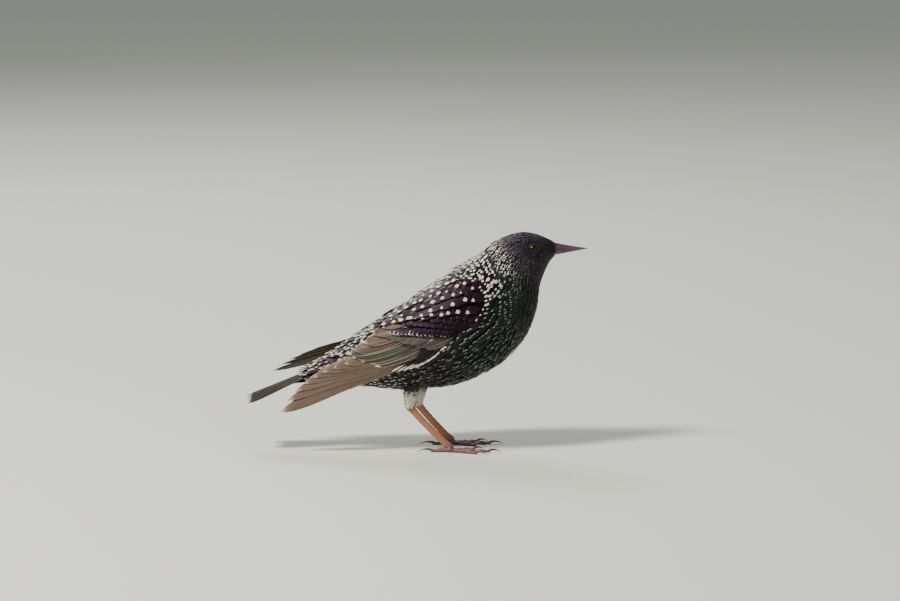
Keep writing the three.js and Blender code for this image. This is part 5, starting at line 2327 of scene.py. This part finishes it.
    def palm_mesh(self) -> MeshData:
        """The ball of the foot that joins the toes, as a flattened sphere cut at the floor.

        Its radius is 1 + 0.04 sin(9 a) sin(11 b), which gives the skin's small scales.

        Returns:
            The mesh.
        """
        polar, ring = np.linspace(0.03, np.pi - 0.03, 30)[:, None], circle(36)[None, :]
        scales = np.sin(9 * ring) * np.sin(11 * polar)
        wide = np.sin(polar) * (1 + 0.04 * scales)
        ahead, middle = self.palm_middle
        points = columns(
            self.foot[0] + ahead + self.palm[0] * wide * np.cos(ring),
            self.side * self.foot[1] + self.palm[1] * wide * np.sin(ring),
            np.maximum(middle + self.palm[2] * np.cos(polar) * (1 + 0.04 * scales), 0.03),
        )
        return tube(points).painted(blend_colour(self.dusk, self.skin, 0.3 + 0.15 * scales))

    def thigh_halves(self, t: Array) -> tuple[Array, Array]:
        """Returns the thigh's half depth and half width at shares of its height."""
        flare = np.clip(t, 0, 1.1) ** 1.4
        return tuple(mix(self.thigh_radii[2 + k], self.thigh_radii[k], flare) for k in (0, 1))

    def spread(self, root: Array, along: Array, across: Array, height: Array) -> Array:
        """Lays a feather's own lengths on the thigh, downward from its root.

        The thigh is a cone from its top to the heel: radius = mix(heel, top, t ** 1.4).

        Args:
            root: Share from the heel, 0, to the top, 1, and angle of each root.
            along: Millimetres downward.
            across: Millimetres round the thigh.
            height: Millimetres above its surface.

        Returns:
            The points.
        """
        tall = self.thigh_top[1] - self.heel[2]
        t = np.clip(root[:, 0, None, None] - along / tall, -0.04, 1.1)
        long_radius, side_radius = self.thigh_halves(t)
        angle = root[:, 1, None, None] + across / (long_radius + self.thigh_coat)
        return columns(
            self.heel[0] + self.thigh_top[0] * t + (long_radius + height) * np.cos(angle),
            self.side * self.heel[1] + (side_radius + height) * np.sin(angle),
            self.heel[2] + tall * t,
        )

    def thigh_vanes(self, rng: np.random.Generator) -> Vanes:
        """Lays out the thigh's small feathers in rings, every second ring shifted.

        Args:
            rng: The leg's random numbers.

        Returns:
            The feathers.
        """
        roots = []
        for k, t in enumerate(np.linspace(0.16, 0.86, 10)):
            count = int(5 + self.thigh_halves(t)[0] * 2.1)
            roots.append(columns(t, (np.arange(count) + 0.5 * (k % 2)) / count * 2 * np.pi))
        root = np.concatenate(roots)
        count = len(root)
        root = root + rng.normal(0, 1, root.shape) * np.array([0.02, 0.05])
        # Painted light: low on the thigh the feathers' ground blends to a near-white that stands for
        # sunlight on them. Higher up they keep their own dark colour.
        pale = 1 - smoothstep(0.42, 0.85, root[:, 0])
        ground = blend_colour(self.tuft_dark, self.sunlit_tuft, 0.04 + 0.85 * pale)
        ground = ground * rng.uniform(0.8, 1.1, (count, 1))
        return Vanes.alike(
            root,
            heading=rng.normal(0, 0.12, count),
            length=rng.uniform(3.9, 6.4, count) * (0.72 + 0.5 * root[:, 0]),
            inner=1.25,
            outer=1.25,
            low=mix(-0.6, -3.2, smoothstep(0.5, 0.86, root[:, 0])),
            high=rng.uniform(0.15, 0.55, count) - 0.75 * (1 - smoothstep(0.1, 0.4, root[:, 0])),
            crown=0.08,
            blunt=0.3,
            ground=rgba(ground, 0.0, count),
            tip=rgba(self.tuft_tip, rng.uniform(0.12, 0.3, count), count),
            patch=inset(columns(root[:, 1] / (2 * np.pi) % 1, root[:, 0] / 1.1 % 1)),
        )

    def thigh_core(self) -> MeshData:
        """The thigh's skin inside its feathers.

        Returns:
            The mesh.
        """
        t = np.linspace(-0.02, 0.66, 30)
        angle = circle(32)
        zero = np.zeros((len(t), 1, len(angle)))
        reach = angle * (self.thigh_halves(t)[0][:, None] + self.thigh_coat)
        inside = -0.55 - 3.2 * smoothstep(0.25, 0.66, t)[:, None, None]
        points = self.spread(columns(t, 0.0), zero, reach[:, None, :], zero + inside)[:, 0]
        return tube(points).painted(np.broadcast_to(self.core, points.shape))

    def build(
        self,
        feathers: Material,
        under: Material,
        leg_skin: Material,
        claws: Material,
    ) -> None:
        """Makes the thigh, shank, foot and claws.

        Args:
            feathers: The plumage.
            under: The skin under it.
            leg_skin: The bare skin of shank and toes.
            claws: The claws' horn.
        """
        rng = np.random.default_rng(self.seed + self.side)
        core = self.thigh_core().to_object(f"thigh_{self.name}_skin", under, "thigh_feathers")
        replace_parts(core, f"thigh_{self.name}")
        maker = VaneMaker(VaneDetail.SMALL, 0.1)
        coat = maker.build(self.thigh_vanes(rng), self)
        coat.to_object(f"thigh_{self.name}_coat", feathers, "thigh_feathers")
        shank = self.shank_mesh().to_object(f"shank_{self.name}", leg_skin, "leg_skin")
        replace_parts(shank, f"tarsus_{self.name}")
        foot = join([self.palm_mesh(), *(self.toe_mesh(toe) for toe in self.toes)])
        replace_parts(foot.to_object(f"toes_{self.name}", leg_skin, "leg_skin"), f"foot_{self.name}")
        for toe in self.toes:
            claw = self.claw_mesh(toe).to_object(f"nail_{toe.name}_{self.name}", claws, "claw_horn")
            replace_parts(claw, f"claw_{toe.name}_{self.name}")


# Studio


@dataclass(frozen=True)
class Lamp:
    """One soft area light, its place and size in metres, its aim and its power in watts."""

    name: str
    place: Vector
    size: float
    power: float
    colour: Colour = (1.0, 1.0, 1.0)


@dataclass
class Studio:
    """The pale floor, the lights and the camera.

    The camera looks from the bird's right side, a little from above. Its aim is the middle of
    the photograph's frame, and its lens gives the frame's width there.
    """

    aim: Vector = (18.5, 0.0, 83.3)
    elevation: float = 8.0
    distance: float = 2.5
    frame_width: float = 0.5
    sensor: float = 36.0
    clip_end: float = 50.0
    sky: tuple[float, ...] = (0.80, 0.84, 0.82, 1)
    sky_strength: float = 0.4
    lamps_aim: Vector = (0.0, 0.0, 0.07)
    floor_radius: float = 9.0
    floor_sides: int = 64
    lamps: tuple[Lamp, ...] = (
        Lamp("key", (-0.9, -0.7, 1.5), 0.4, 54.0, (1.0, 0.97, 0.90)),
        Lamp("back", (-0.5, 1.3, 1.3), 0.8, 20.0, (1.0, 0.98, 0.95)),
        Lamp("fill", (1.6, -1.6, 0.7), 1.6, 7.0, (0.93, 0.96, 1.0)),
    )

    def build(self) -> None:
        """Makes the floor, the lights and the camera."""
        self.floor()
        world = bpy.data.worlds.new("studio")
        world.use_nodes = True
        sockets = world.node_tree.nodes["Background"].inputs
        sockets["Color"].default_value = self.sky
        sockets["Strength"].default_value = self.sky_strength
        bpy.context.scene.world = world
        for lamp in self.lamps:
            data = bpy.data.lights.new(lamp.name, "AREA")
            data.shape, data.size = "DISK", lamp.size
            data.energy, data.color = lamp.power, lamp.colour
            light = bpy.data.objects.new(lamp.name, data)
            self.look(light, np.array(lamp.place), np.array(self.lamps_aim))
            bpy.context.scene.collection.objects.link(light)
        self.camera()

    def floor(self) -> None:
        """Makes the floor, a wide flat disc, as stage."""
        turn = circle(self.floor_sides)
        points = self.floor_radius * columns(np.cos(turn), np.sin(turn), 0.0)
        mesh = bpy.data.meshes.new("floor")
        mesh.from_pydata(points.tolist(), [], [list(range(self.floor_sides))])
        mesh.materials.append(FloorFinish().build())
        disc = bpy.data.objects.new("floor", mesh)
        bpy.context.scene.collection.objects.link(disc)

    def look(self, thing: Object, place: Array, target: Array) -> None:
        """Puts a light or camera somewhere and turns it to its target.

        Args:
            thing: The light or camera.
            place: Where it stands, in metres.
            target: What it looks at.
        """
        back = unit(place - target)
        right = unit(np.cross(np.array([0.0, 0.0, 1.0]), back))
        up = np.cross(back, right)
        matrix = np.eye(4)
        matrix[:3, :3] = np.stack([right, up, back], 1)
        matrix[:3, 3] = place
        thing.matrix_world = Matrix(matrix.tolist())

    def camera(self) -> None:
        """Makes the camera."""
        target = BirdFrame().place(np.array(self.aim))
        rise = math.radians(self.elevation)
        place = target + self.distance * np.array([0.0, -math.cos(rise), math.sin(rise)])
        data = bpy.data.cameras.new("camera")
        data.sensor_width = self.sensor
        data.lens = self.sensor * self.distance / self.frame_width
        data.clip_end = self.clip_end
        camera = bpy.data.objects.new("camera", data)
        self.look(camera, place, target)
        bpy.context.scene.collection.objects.link(camera)
        bpy.context.scene.camera = camera


def main() -> None:
    """Builds the bird and its studio, in order."""
    logging.basicConfig(level=logging.INFO, format="%(name)s %(message)s")
    body = BodyShape()
    pattern = CoatPattern()
    plumage = VaneFinish().build()
    wing_finish = VaneFinish("wing_feathers", 0.47).build()
    tail_finish = VaneFinish("tail_feathers", 0.6, specular=0.05).build()
    thigh_finish = VaneFinish("thigh_feathers", 0.6, metallic=0.0).build()
    bare = HornFinish("under_skin", 0.8, wear=0.05).build()
    Skin(body, pattern).build(bare)
    eyes = Eyes(body)
    Coat(body, pattern, np.array(eyes.centre)).build(plumage)
    right = WingSurface(body, -1, (45.1, 73.2), 22.9, 14.0, (23.5, 15.5), 0.0)
    left = WingSurface(body, 1, (48.9, 71.6), 13.4, 55.0, (23.5, 14.5), 0.14)
    Wing(right, "right", 21, pattern).build(wing_finish)
    Wing(left, "left", 22, pattern, primary_tips=(89.0, 134.5, 13.2, 0.92)).build(wing_finish)
    FacePlumes(body).build(plumage)
    EyePlumes(body, eye=eyes.centre).build(plumage)
    Tail().build(pattern, tail_finish)
    Bill(body).build(HornFinish("bill_horn", 0.4, coat=0.1, wear=0.2).build())
    eyes.build(EyeFinish().build(), HornFinish("lid_skin", 0.5, wear=0.1).build())
    leg_skin = HornFinish("leg_skin", 0.5, stretch=(1, 1, 1), depth=0.00005).build()
    claws = HornFinish("claw_horn", 0.32, coat=0.2, wear=0.2).build()
    for side, name, heel, foot in (
        (-1, "right", (-4.0, 10.5, 25.2), (17.6, 12.5, 3.4)),
        (1, "left", (0.6, 10.5, 23.2), (18.4, 12.5, 3.4)),
    ):
        Leg(side, name, heel, foot).build(thigh_finish, bare, leg_skin, claws)
    Studio().build()


if __name__ == "__main__":
    main()
